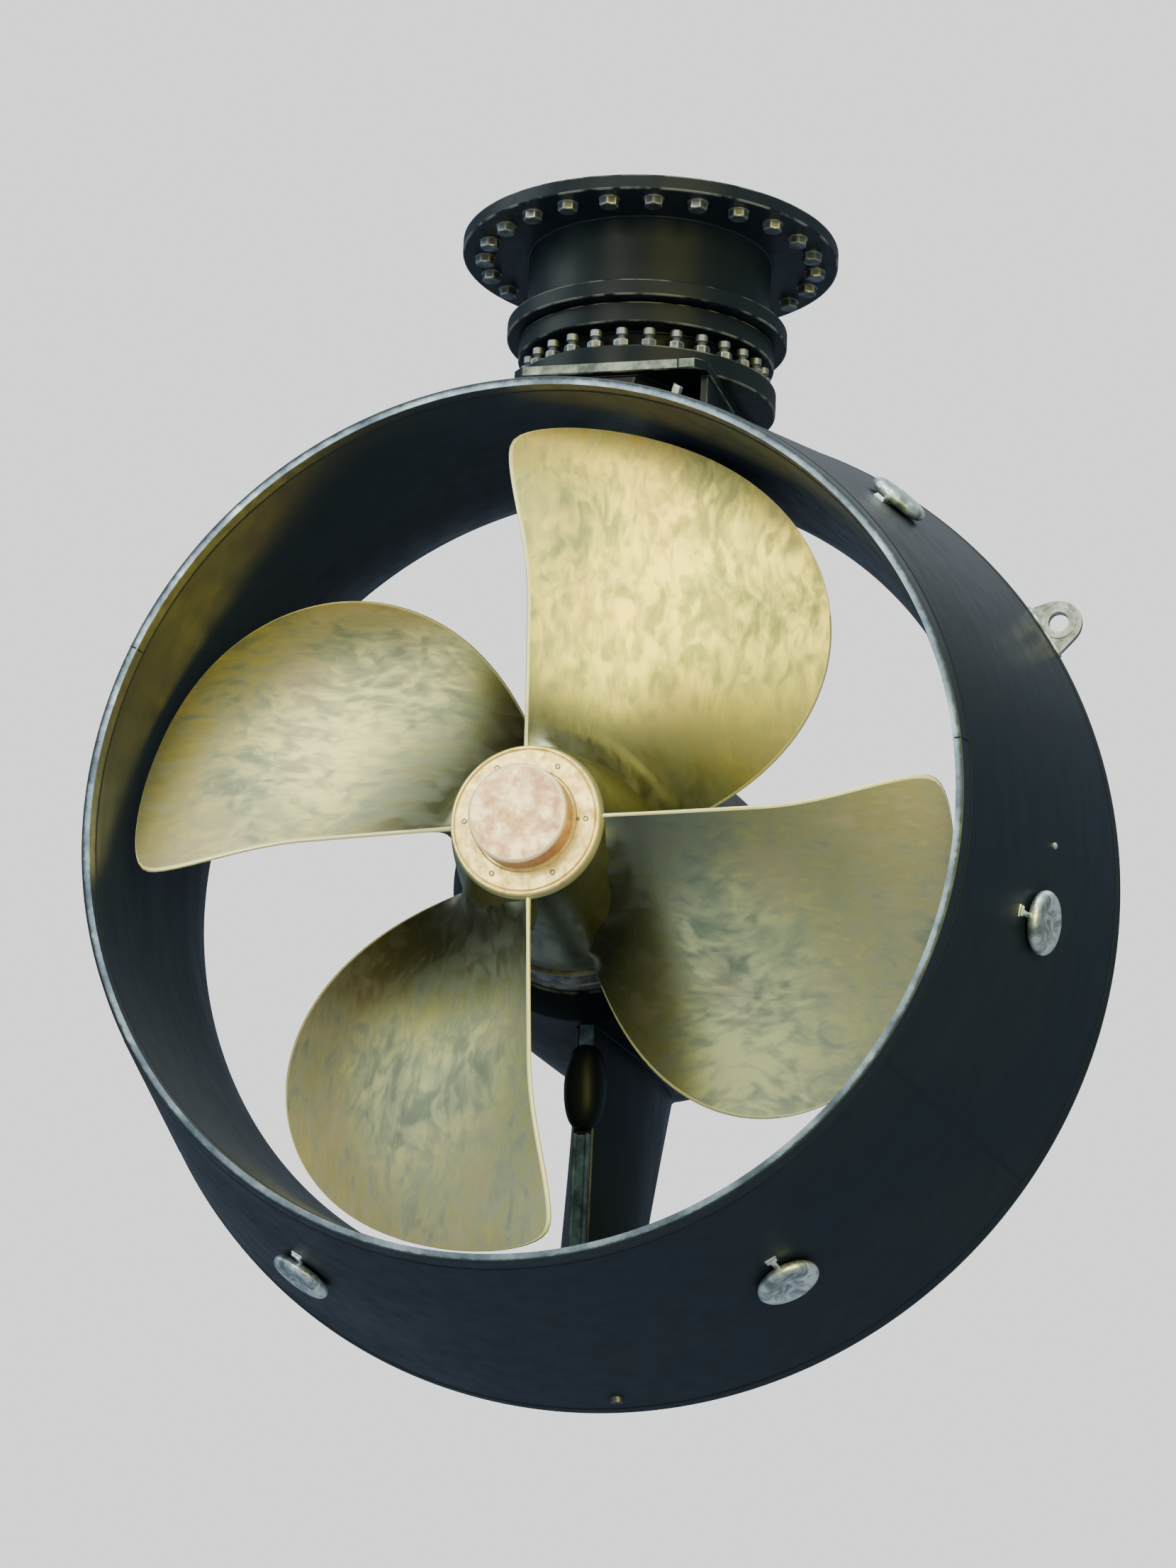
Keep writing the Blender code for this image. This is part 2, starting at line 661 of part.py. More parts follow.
def anode_frame(angle):
    """Frame on the outer cone: X along the cone, Z straight out of it."""
    slope = math.atan2(WIDEST_RADIUS - LIP_OUTER_RADIUS, WIDEST_STATION)
    out = Vector((math.cos(angle) * math.cos(slope), -math.sin(slope), math.sin(angle) * math.cos(slope)))
    along = Vector((math.cos(angle) * math.sin(slope), math.cos(slope), math.sin(angle) * math.sin(slope)))
    across = out.cross(along)
    radius = outer_radius(ANODE_STATION)
    place = Vector((radius * math.cos(angle), station(ANODE_STATION), height(radius * math.sin(angle))))
    frame = Matrix((along, across, out)).transposed().to_4x4()
    frame.translation = place
    return frame


def anode_mesh(name):
    """A lens of zinc that starts inside the nozzle's wall, which is cut away from it later."""
    foot, belly, shoulder, crown = 0.72, 1.0, 0.93, 0.66
    rings = []
    for share, level in ((foot, -ANODE_SINK), (foot, ANODE_THICKNESS / 6), (belly, ANODE_THICKNESS * 0.45),
                         (shoulder, ANODE_THICKNESS * 0.78), (crown, ANODE_THICKNESS)):
        radius = ANODE_RADIUS * share
        turns = spread(0.0, 2 * math.pi, 24)[:-1]
        rings.append([(radius * math.cos(turn_by), radius * math.sin(turn_by), level) for turn_by in turns])
    return loft_mesh(name, rings)


def make_anodes(nozzle_wall):
    """Six anodes round the nozzle, each with its strap."""
    for number, degrees in enumerate(ANODE_ANGLES, start=1):
        name = "nozzle_anode_%d" % number
        frame = anode_frame(math.radians(degrees))
        anode = add_part(name, anode_mesh(name), ZINC)
        anode.matrix_world = frame
        strap = add_cutter("strap_%d" % number, box_mesh("strap_%d" % number,
                           (-STRAP_LENGTH / 2, -STRAP_WIDTH / 2, -ANODE_SINK),
                           (STRAP_LENGTH / 2, STRAP_WIDTH / 2, STRAP_THICKNESS)))
        strap.matrix_world = frame
        join = anode.modifiers.new("strap", "BOOLEAN")
        join.operation = "UNION"
        join.solver = "EXACT"
        join.object = strap
        cut(anode, nozzle_wall)


def make_plug(nozzle_wall):
    """Drain plug under the nozzle, square to the surface across the nozzle."""
    radius = outer_radius(PLUG_STATION)
    points = disc_points(PLUG_RADIUS, radius - PLUG_RADIUS, radius + PLUG_HEIGHT, bevel=0.003)
    plug = turned_part("nozzle_drain_plug", points, STEEL, steps=16, along_y=False)
    plug.rotation_euler = (0.0, math.radians(90.0 - PLUG_ANGLE), 0.0)
    plug.location = (0.0, station(PLUG_STATION), height(0.0))
    cut(plug, nozzle_wall)


def eye_outline():
    """Outline of a lifting eye: a straight base, and a round head about its hole."""
    head = EYE_HOLE_RADIUS + EYE_RIM
    lean = math.atan2(EYE_HOLE_HEIGHT, EYE_BASE / 2)
    start = math.acos(head / math.hypot(EYE_HOLE_HEIGHT, EYE_BASE / 2)) - lean
    points = [(EYE_BASE / 2, -EYE_SINK), (EYE_BASE / 2, 0.0)]
    for turn_by in spread(start, math.pi - start, 10):
        points.append((head * math.cos(turn_by), EYE_HOLE_HEIGHT + head * math.sin(turn_by)))
    return points + [(-EYE_BASE / 2, 0.0), (-EYE_BASE / 2, -EYE_SINK)]


def make_lifting_eyes(nozzle_wall):
    """Two lifting eyes on the widest ring, their plates square to the nozzle's axis."""
    for name, degrees in (("nozzle_lifting_eye_right", EYE_ANGLE),
                          ("nozzle_lifting_eye_left", 180.0 - EYE_ANGLE)):
        radius = outer_radius(EYE_STATION)
        half = EYE_THICKNESS / 2
        faces = [[(across, along, radius + out) for across, out in eye_outline()] for along in (-half, half)]
        eye = add_part(name, loft_mesh(name, faces), LIP_METAL)
        hole = disc_points(EYE_HOLE_RADIUS, -EYE_THICKNESS, EYE_THICKNESS, bevel=0.0005)
        cutter = turned_cutter("hole_of_" + name, hole, steps=24)
        angle = math.radians(90.0 - degrees)
        eye.rotation_euler = (0.0, angle, 0.0)
        eye.location = (0.0, station(EYE_STATION), height(0.0))
        reach = radius + EYE_HOLE_HEIGHT
        cutter.location = (reach * math.sin(angle), station(EYE_STATION), height(reach * math.cos(angle)))
        cut(eye, cutter)
        cut(eye, nozzle_wall)


# Screw

def smooth_step(low, high, value):
    """Rises smoothly from 0 at low to 1 at high."""
    share = min(1.0, max(0.0, (value - low) / (high - low)))
    return share * share * (3 - 2 * share)


def trailing_edge(share):
    """Angle of the trailing edge in degrees: nearly straight, swept back, then round into the tip."""
    rounding = 1 - math.sqrt(max(0.0, 1 - share ** TIP_SQUARENESS))
    sweep = smooth_step(SWEEP_START, SWEEP_END, share)
    return (TIP_ANGLE + TRAILING_SWEEP) * rounding - TRAILING_SWEEP * sweep


def leading_edge(share):
    """Angle of the leading edge in degrees: widest at the root, one long curve to the tip."""
    fullness = max(0.0, 1 - share ** LEADING_FULLNESS) ** (1 / LEADING_ROUNDING)
    return TIP_ANGLE + (ROOT_ANGLE - TIP_ANGLE) * fullness


def edge_points(edge, count):
    """Points along one edge, evenly spaced by length, as (radius share, degrees)."""
    root = BLADE_ROOT_RADIUS / TIP_RADIUS
    fine = [root + (1 - root) * (1 - (1 - step / 400) ** 3) for step in range(401)]
    places = [(share, edge(share)) for share in fine]
    lengths = [0.0]
    for (share, angle), (next_share, next_angle) in zip(places, places[1:]):
        sideways = math.radians(next_angle - angle) * next_share
        lengths.append(lengths[-1] + math.hypot(next_share - share, sideways))
    chosen = []
    index = 0
    for step in range(count + 1):
        wanted = lengths[-1] * (1 - (1 - step / count) ** 1.35)
        while index < len(lengths) - 2 and lengths[index + 1] < wanted:
            index += 1
        span = lengths[index + 1] - lengths[index]
        part = (wanted - lengths[index]) / span if span > 0 else 0.0
        first, second = places[index], places[index + 1]
        chosen.append((first[0] + (second[0] - first[0]) * part, first[1] + (second[1] - first[1]) * part))
    return chosen


def blade_point(share, degrees, lift):
    """A point on the blade's driving face, or lifted off it towards its back."""
    radius = share * TIP_RADIUS
    wrap = math.radians(degrees)
    angle = math.radians(TRAILING_ANGLE) + wrap
    rise = PITCH / (2 * math.pi)
    slope = math.hypot(radius, rise)
    angle -= lift * rise / slope / radius
    axial = BLADE_STATION + RAKE * radius + rise * wrap + lift * radius / slope
    return Vector((radius * math.sin(angle), axial, radius * math.cos(angle)))


def blade_mesh(name):
    """One blade: ribs from edge to edge, thick at the root and in the middle of the chord."""
    trailing = edge_points(trailing_edge, BLADE_RIBS)
    leading = edge_points(leading_edge, BLADE_RIBS)
    rings = []
    for (share_t, angle_t), (share_l, angle_l) in zip(trailing[:-1], leading[:-1]):
        face, back = [], []
        for step in range(CHORD_STEPS + 1):
            along = 0.5 - 0.5 * math.cos(math.pi * step / CHORD_STEPS)
            share = share_t + (share_l - share_t) * along
            degrees = angle_t + (angle_l - angle_t) * along
            full = BLADE_ROOT_THICKNESS + (BLADE_TIP_THICKNESS - BLADE_ROOT_THICKNESS) * share
            lift = BLADE_EDGE + (full - BLADE_EDGE) * math.sin(math.pi * along ** 0.85)
            face.append(blade_point(share, degrees, 0.0))
            back.append(blade_point(share, degrees, lift))
        rings.append(face + back[::-1])
    mesh = loft_mesh(name, rings)
    close_tip(mesh, len(rings[0]), blade_point(1.0, TIP_ANGLE, 0.0), blade_point(1.0, TIP_ANGLE, BLADE_EDGE))
    return mesh


def close_tip(mesh, count, face_point, back_point):
    """Draws the last rib's cap out to the blade's tip edge."""
    shape = bmesh.new()
    shape.from_mesh(mesh)
    cap = max((face for face in shape.faces if len(face.verts) == count),
              key=lambda face: (face.calc_center_median().xz.length))
    ring = list(cap.verts)
    shape.faces.remove(cap)
    half = count // 2
    ring.sort(key=lambda vert: vert.index)
    face_tip = shape.verts.new(face_point)
    back_tip = shape.verts.new(back_point)
    front, rear = ring[:half], ring[half:]
    for first, second in zip(front, front[1:]):
        shape.faces.new((first, second, face_tip))
    for first, second in zip(rear, rear[1:]):
        shape.faces.new((first, second, back_tip))
    shape.faces.new((front[-1], rear[0], back_tip, face_tip))
    shape.faces.new((rear[-1], front[0], face_tip, back_tip))
    bmesh.ops.recalc_face_normals(shape, faces=shape.faces)
    shape.to_mesh(mesh)
    shape.free()
    mesh.shade_smooth()


def hub_points():
    """Profile of the hub, from its front down its outer side to the cap."""
    front, aft = HUB_FRONT_STATION, HUB_AFT_STATION
    return [(0.0, front), (HUB_FRONT_RADIUS - 0.008, front), (HUB_FRONT_RADIUS, front - 0.008),
            (HUB_FRONT_RADIUS - 0.006, front - 0.14), (HUB_MIDDLE_RADIUS, aft + HUB_CROWN_LENGTH),
            (HUB_AFT_RADIUS + 0.025, aft + 0.09), (HUB_AFT_RADIUS, aft), (0.0, aft)]


def make_screw():
    """Hub, cap, shaft and blades."""
    turned_part("hub", hub_points(), BRONZE)
    cap_front = HUB_AFT_STATION - SEAT_GAP
    cap_aft = cap_front - CAP_RING_THICKNESS
    cap = disc_points(HUB_AFT_RADIUS - CAP_RING_EDGE, cap_aft, cap_front, bevel=0.003)
    turned_part("hub_cap_ring", cap, CAP_BRONZE)
    disc_front = cap_aft - SEAT_GAP
    disc = disc_points(CAP_DISC_RADIUS, disc_front - CAP_DISC_HEIGHT, disc_front, bevel=0.007)
    turned_part("hub_cap_disc", disc, DISC_BRONZE)
    reach = HUB_FRONT_STATION + SEAL_LENGTH + SHAFT_REACH
    shaft = disc_points(SHAFT_RADIUS, HUB_FRONT_STATION + SEAT_GAP, reach)
    turned_part("propeller_shaft", shaft, STEEL, steps=32)
    hub_seat = turned_cutter("hub_seat", grow(hub_points(), SEAT_GAP))
    for number in range(BLADE_COUNT):
        name = "blade_%d" % (number + 1)
        blade = add_part(name, blade_mesh(name), BRONZE)
        blade.rotation_euler = (0.0, 2 * math.pi * number / BLADE_COUNT, 0.0)
        blade.location = (0.0, station(0.0), height(0.0))
        cut(blade, hub_seat)


remove_everything()
parts = make_collection("ducted azimuth propeller")
cutters = make_collection("cutters")
make_nozzle()
make_housing()
seat = make_leg()
make_trunk(make_stem())
wall = turned_cutter("nozzle_wall", nozzle_solid_points(SEAT_GAP), closed=True, steps=NOZZLE_SIDES)
make_strut(seat, wall)
make_block(seat)
make_brackets(wall)
make_anodes(wall)
make_plug(wall)
make_lifting_eyes(wall)
make_screw()
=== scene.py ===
"""Looks of the ducted azimuth ship propeller: fine surfaces, fasteners, weld seams and finishes.

Metres, in the frame's axes: +Z up, the origin on the mounting flange, the nozzle's outlet facing -Y.
Along the nozzle, sizes are stations: forwards from the outlet lip. Heights are measured from the
nozzle's axis. Every piece stands where the frame's node of the same name stands.
"""
import json
import math

import bmesh
import bpy
from mathutils import Matrix, Vector


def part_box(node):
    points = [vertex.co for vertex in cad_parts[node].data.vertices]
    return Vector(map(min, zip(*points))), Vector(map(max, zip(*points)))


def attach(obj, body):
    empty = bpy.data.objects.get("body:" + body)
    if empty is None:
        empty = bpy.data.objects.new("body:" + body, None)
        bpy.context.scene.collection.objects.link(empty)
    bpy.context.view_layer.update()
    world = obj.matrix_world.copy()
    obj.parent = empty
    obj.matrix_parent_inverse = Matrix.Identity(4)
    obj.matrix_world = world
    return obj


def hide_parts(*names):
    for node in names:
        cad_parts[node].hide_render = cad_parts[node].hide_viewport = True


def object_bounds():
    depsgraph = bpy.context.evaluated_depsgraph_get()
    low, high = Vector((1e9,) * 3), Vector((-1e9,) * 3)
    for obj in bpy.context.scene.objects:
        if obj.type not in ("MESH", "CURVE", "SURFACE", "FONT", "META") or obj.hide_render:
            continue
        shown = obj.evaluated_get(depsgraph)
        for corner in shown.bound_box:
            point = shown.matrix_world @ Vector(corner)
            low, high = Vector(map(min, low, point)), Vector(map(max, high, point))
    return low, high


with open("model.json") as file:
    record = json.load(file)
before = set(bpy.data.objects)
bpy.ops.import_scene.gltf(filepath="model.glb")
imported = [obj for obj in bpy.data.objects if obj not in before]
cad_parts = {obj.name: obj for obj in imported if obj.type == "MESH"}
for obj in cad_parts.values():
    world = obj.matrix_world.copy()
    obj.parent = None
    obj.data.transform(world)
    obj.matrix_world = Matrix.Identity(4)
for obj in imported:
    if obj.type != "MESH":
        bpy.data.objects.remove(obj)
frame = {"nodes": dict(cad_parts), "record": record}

CAD_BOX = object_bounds()
LIP_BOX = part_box("nozzle_lip")
OUTLET = Vector((0.0, LIP_BOX[0].y, (LIP_BOX[0].z + LIP_BOX[1].z) / 2))


# Places in the frame

def half_width(node):
    """Half the width of a node, which is the radius of a round one."""
    low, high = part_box(node)
    return (high.x - low.x) / 2


def stations(node):
    """The two stations between which a node lies."""
    low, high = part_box(node)
    return low.y - OUTLET.y, high.y - OUTLET.y


def height(above):
    """World Z of a height above the nozzle's axis."""
    return OUTLET.z + above


# Nozzle sizes
LIP_OUTER_RADIUS = half_width("nozzle_lip")
LIP_LENGTH = stations("nozzle_lip")[1]
LIP_WIDTH = 0.025
LIP_FLARE = 0.013
LIP_ROUNDING = 0.009
DIFFUSER_LENGTH = 0.516
THROAT_END = 0.774
INLET_FLARE = 0.235
NOSE_LENGTH = 0.106
LINER_THICKNESS = 0.016
SHELL_THICKNESS = 0.012
NOSE_BACK, NOZZLE_LENGTH = stations("nozzle_nose")
THROAT_RADIUS = LIP_OUTER_RADIUS - LIP_WIDTH - LIP_FLARE
INLET_LENGTH = NOZZLE_LENGTH - THROAT_END
WIDEST_RADIUS = half_width("nozzle_nose")
WIDEST_STATION = NOZZLE_LENGTH - NOSE_LENGTH
NOZZLE_STEPS = 256

# A square's diagonal over its side, which spreads a rectangle's corners over the quarters of a turn
DIAGONAL = 1.4142

# Wear shows on rims tighter than these, in 1/m
WEAR_FROM = 25.0
WEAR_FULL = 90.0

ALONG_NOZZLE = Matrix.Rotation(-math.pi / 2, 4, "X")
FACING_AFT = Matrix.Rotation(math.pi / 2, 4, "X")
UPRIGHT = Matrix.Identity(4)


# Section tools

def spread(start, end, count):
    """Evenly spaced values from start to end."""
    return [start + (end - start) * index / count for index in range(count + 1)]


def circle(radius, steps, shift=0.0):
    """Points round a circle, turned on by a share of one step."""
    turns = [2 * math.pi * (index + shift) / steps for index in range(steps)]
    return [(radius * math.cos(turn), radius * math.sin(turn)) for turn in turns]


def hexagon(across, steps, reach=1.0):
    """Outline of a hexagon, rounded off beyond a reach."""
    points = []
    for index in range(steps):
        turn = 2 * math.pi * index / steps
        radius = min(across / 2 / math.cos(turn % (math.pi / 3) - math.pi / 6), reach)
        points.append((radius * math.cos(turn), radius * math.sin(turn)))
    return points


def round_outline(x_reach, y_reach, radius, steps=64, middle=(0.0, 0.0)):
    """An upright rectangle with round corners; the largest radius makes a slot or circle."""
    points = []
    for cos, sin in circle(1.0, steps, 0.5):
        across = math.copysign(min(1.0, abs(cos) * DIAGONAL), cos)
        along = math.copysign(min(1.0, abs(sin) * DIAGONAL), sin)
        corner = Vector((across * (x_reach - radius), along * (y_reach - radius)))
        out = Vector((cos, sin)) * radius
        points.append((middle[0] + corner.x + out.x, middle[1] + corner.y + out.y))
    return points


def rectangle(low, high, steps=12):
    """Points round a flat rectangle."""
    points = [(x, low[1]) for x in spread(low[0], high[0], steps)[:-1]]
    points += [(high[0], y) for y in spread(low[1], high[1], steps)[:-1]]
    points += [(x, high[1]) for x in spread(high[0], low[0], steps)[:-1]]
    return points + [(low[0], y) for y in spread(high[1], low[1], steps)[:-1]]


def corner_arc(before, corner, after, radius, steps):
    """The points of an arc that rounds one corner of a flat outline."""
    before, corner, after = Vector(before), Vector(corner), Vector(after)
    back, on = before - corner, after - corner
    half = back.angle(on) / 2
    if half > 1.45:
        return [corner]
    reach = min(radius / math.tan(half), 0.45 * back.length, 0.45 * on.length)
    back.normalize()
    on.normalize()
    middle = corner + (back + on).normalized() * (reach / math.cos(half))
    first, last = corner + back * reach - middle, corner + on * reach - middle
    turn = math.atan2(first.x * last.y - first.y * last.x, first.dot(last))
    points = []
    for angle in spread(0.0, turn, steps):
        cos, sin = math.cos(angle), math.sin(angle)
        points.append(middle + Vector((first.x * cos - first.y * sin, first.x * sin + first.y * cos)))
    return points


def rounded(points, radius, closed=True, steps=4):
    """A flat outline with every corner rounded; an open one keeps its two ends."""
    result = []
    for index, corner in enumerate(points):
        if not closed and index in (0, len(points) - 1):
            result.append(Vector(corner))
        else:
            after = points[(index + 1) % len(points)]
            result += corner_arc(points[index - 1], corner, after, radius, steps)
    return [(point.x, point.y) for point in result]


# Mesh tools

def mark_wear(shape):
    """Stores how exposed each face is: 1 on tightly curved outer rims, 0 on broad faces."""
    wear = shape.faces.layers.float.new("wear")
    sizes = {face: face.calc_area() for face in shape.faces}
    for edge in shape.edges:
        if len(edge.link_faces) != 2:
            continue
        width = sum(sizes[face] for face in edge.link_faces) / 2 / max(edge.calc_length(), 1e-6)
        tightness = edge.calc_face_angle_signed(0.0) / max(width, 1e-5)
        share = min(1.0, max(0.0, (tightness - WEAR_FROM) / (WEAR_FULL - WEAR_FROM)))
        for face in edge.link_faces:
            face[wear] = max(face[wear], share)


def new_mesh(name, shape, sharp=35):
    """Turns a bmesh into a smooth shaded mesh with its sharp edges and worn rims marked."""
    bmesh.ops.recalc_face_normals(shape, faces=shape.faces)
    mark_wear(shape)
    mesh = bpy.data.meshes.new(name)
    shape.to_mesh(mesh)
    shape.free()
    mesh.shade_smooth()
    mesh.set_sharp_from_angle(angle=math.radians(sharp))
    return mesh


def join_rings(shape, near, far):
    """Faces between two rings of vertices, of which one may be a single point."""
    count = max(len(near), len(far))
    for index in range(count):
        after = (index + 1) % count
        if len(near) == 1:
            shape.faces.new((near[0], far[index], far[after]))
        elif len(far) == 1:
            shape.faces.new((near[index], near[after], far[0]))
        else:
            shape.faces.new((near[index], near[after], far[after], far[index]))


def skin_into(shape, rings, closed=False, capped=True):
    """Adds a skin through rings of points, with flat ends or closed on itself, and gives its vertices."""
    rows = [[shape.verts.new(point) for point in ring] for ring in rings]
    for near, far in zip(rows, rows[1:] + rows[:closed]):
        join_rings(shape, near, far)
    if capped and not closed:
        shape.faces.new(rows[0][::-1])
        shape.faces.new(rows[-1])
    return rows


def loft(rings):
    """A closed solid through rings that have the same number of points."""
    shape = bmesh.new()
    skin_into(shape, rings)
    return shape


def lathe_into(shape, section, steps, matrix=UPRIGHT, closed=False):
    """Adds a turned solid about the local Z axis of a frame; its section is (radius, along) points."""
    rings = []
    for radius, along in section:
        spots = circle(radius, steps) if radius > 1e-6 else [(0.0, 0.0)]
        rings.append([matrix @ Vector((x, y, along)) for x, y in spots])
    skin_into(shape, rings, closed, capped=False)


def lathe(section, steps, matrix=ALONG_NOZZLE, closed=False):
    """A turned solid about an axis, closed where its section is a loop."""
    shape = bmesh.new()
    lathe_into(shape, section, steps, matrix, closed)
    return shape


def box_into(shape, low, high, bevel, matrix=UPRIGHT):
    """Adds a box with rounded edges between two corners of a frame."""
    made = bmesh.ops.create_cube(shape, size=1.0)
    size = [top - bottom for bottom, top in zip(low, high)]
    middle = Vector([(top + bottom) / 2 for bottom, top in zip(low, high)])
    for vert in made["verts"]:
        vert.co = matrix @ (Vector([c * s for c, s in zip(vert.co, size)]) + middle)
    edges = list(dict.fromkeys(edge for vert in made["verts"] for edge in vert.link_edges))
    bmesh.ops.bevel(shape, geom=edges, offset=bevel, segments=3, profile=0.5, affect="EDGES")


def rounded_box(low, high, bevel):
    """A box with rounded edges."""
    shape = bmesh.new()
    box_into(shape, low, high, bevel)
    return shape


def hexagon_into(shape, matrix, across, low, high):
    """Adds a hexagonal nut or bolt head with its corners turned off at the top."""
    cut, full = 0.12 * across, 1.02 * across / 2
    levels = ((low, 2.0), (high - cut, 2.0), (high - cut * 0.45, 1.07), (high, 0.93))
    skin_into(shape, [[matrix @ Vector((x, y, level)) for x, y in hexagon(across, 36, limit * full)]
                      for level, limit in levels])


def finish_rims(shape, rings, bevel, matrix=UPRIGHT):
    """Rounds the rims that run along given rings, then moves all of the solid to its frame."""
    rims = dict.fromkeys(edge for ring in rings for vert in ring for edge in vert.link_edges
                         if set(edge.verts) <= set(ring))
    members = {vert for ring in rings for vert in ring}
    result = bmesh.ops.bevel(shape, geom=list(rims), offset=bevel, segments=3, profile=0.5, affect="EDGES")
    members = {vert for vert in members if vert.is_valid}
    for vert in members | {vert for face in result["faces"] for vert in face.verts}:
        vert.co = matrix @ vert.co


def prism(outline, low, high, bevel):
    """An outline drawn upwards between two levels, with rounded rims."""
    shape = bmesh.new()
    rows = skin_into(shape, [[(x, y, level) for x, y in outline] for level in (low, high)])
    finish_rims(shape, rows, bevel)
    return shape


def holed_plate_into(shape, outer, inner, low, high, bevel, matrix):
    """Adds a plate with a hole: two outlines with the same number of points, drawn between two levels."""
    rings = [[(x, y, level) for x, y in outline]
             for outline, level in ((outer, low), (outer, high), (inner, high), (inner, low))]
    finish_rims(shape, skin_into(shape, rings, closed=True), bevel, matrix)


def bead_mesh(name, paths):
    """Round beads along (points, radius, closed) paths, as one mesh."""
    curve = bpy.data.curves.new(name, "CURVE")
    curve.dimensions = "3D"
    curve.bevel_depth = 1.0
    curve.bevel_resolution = 2
    curve.use_fill_caps = True
    for points, radius, closed in paths:
        spline = curve.splines.new("POLY")
        spline.points.add(len(points) - 1)
        for target, point in zip(spline.points, points):
            target.co = (*point, 1.0)
            target.radius = radius
        spline.use_cyclic_u = closed
    guide = bpy.data.objects.new(name, curve)
    bpy.context.scene.collection.objects.link(guide)
    bpy.context.view_layer.update()
    mesh = bpy.data.meshes.new_from_object(guide.evaluated_get(bpy.context.evaluated_depsgraph_get()))
    bpy.data.objects.remove(guide)
    bpy.data.curves.remove(curve)
    mesh.shade_smooth()
    mesh.name = name
    return mesh


# Pieces

def add_piece(name, shape, slot, *replaces, body="steering", finish=None, origin=(0, 0, 0), spin=0.0,
              weigh=True):
    """Links a solid as a piece that rides on a body, in its slot's finish unless another is given."""
    mesh = new_mesh(name, shape) if isinstance(shape, bmesh.types.BMesh) else shape
    piece = bpy.data.objects.new(name, mesh)
    bpy.context.scene.collection.objects.link(piece)
    piece.location = origin
    piece.rotation_euler = (0.0, spin, 0.0)
    mesh.materials.clear()
    mesh.materials.append(finish or FINISHES[slot])
    if weigh:
        piece.modifiers.new("weighted normals", "WEIGHTED_NORMAL").keep_sharp = True
    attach(piece, body)
    if replaces:
        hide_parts(*replaces)
    return piece


def turned_piece(name, section, slot, *replaces, steps=160, closed=False, **settings):
    """A turned piece about the nozzle's axis."""
    add_piece(name, lathe(section, steps, closed=closed), slot, *replaces, origin=OUTLET, **settings)


def upright_piece(name, section, node, closed=False, **settings):
    """A painted piece, turned about the steering axis, that stands for a node."""
    add_piece(name, lathe(section, 160, UPRIGHT, closed), "hull_paint", node, **settings)


def add_beads(name, paths, slot, body="steering"):
    """Weld beads as one piece."""
    add_piece(name, bead_mesh(name, paths), slot, body=body, weigh=False)


# Material tools

class Nodes:
    """A node tree and short ways to add to it."""

    def __init__(self, tree):
        self.tree = tree

    def connect(self, socket, value):
        """Feeds one socket from a link or a constant; colours are given without alpha."""
        if isinstance(value, bpy.types.NodeSocket):
            self.tree.links.new(value, socket)
        else:
            socket.default_value = (*value, 1.0) if socket.type == "RGBA" else value

    def node(self, kind, *values, **settings):
        """Adds a node, sets its properties and feeds its first inputs in order."""
        added = self.tree.nodes.new(kind)
        for key, value in settings.items():
            setattr(added, key, value)
        for socket, value in zip(added.inputs, values):
            self.connect(socket, value)
        return added

    def span(self, value, low, high, start, end):
        """Maps a value's range to another range, clamped."""
        return self.node("ShaderNodeMapRange", value, low, high, start, end).outputs["Result"]

    def blend(self, share, first, second, how="MIX"):
        """Mixes two colours."""
        added = self.node("ShaderNodeMix", share, data_type="RGBA", blend_type=how)
        self.connect(added.inputs[6], first)
        self.connect(added.inputs[7], second)
        return added.outputs[2]

    def calc(self, how, first, second):
        """One arithmetic step."""
        return self.node("ShaderNodeMath", first, second, operation=how).outputs["Value"]


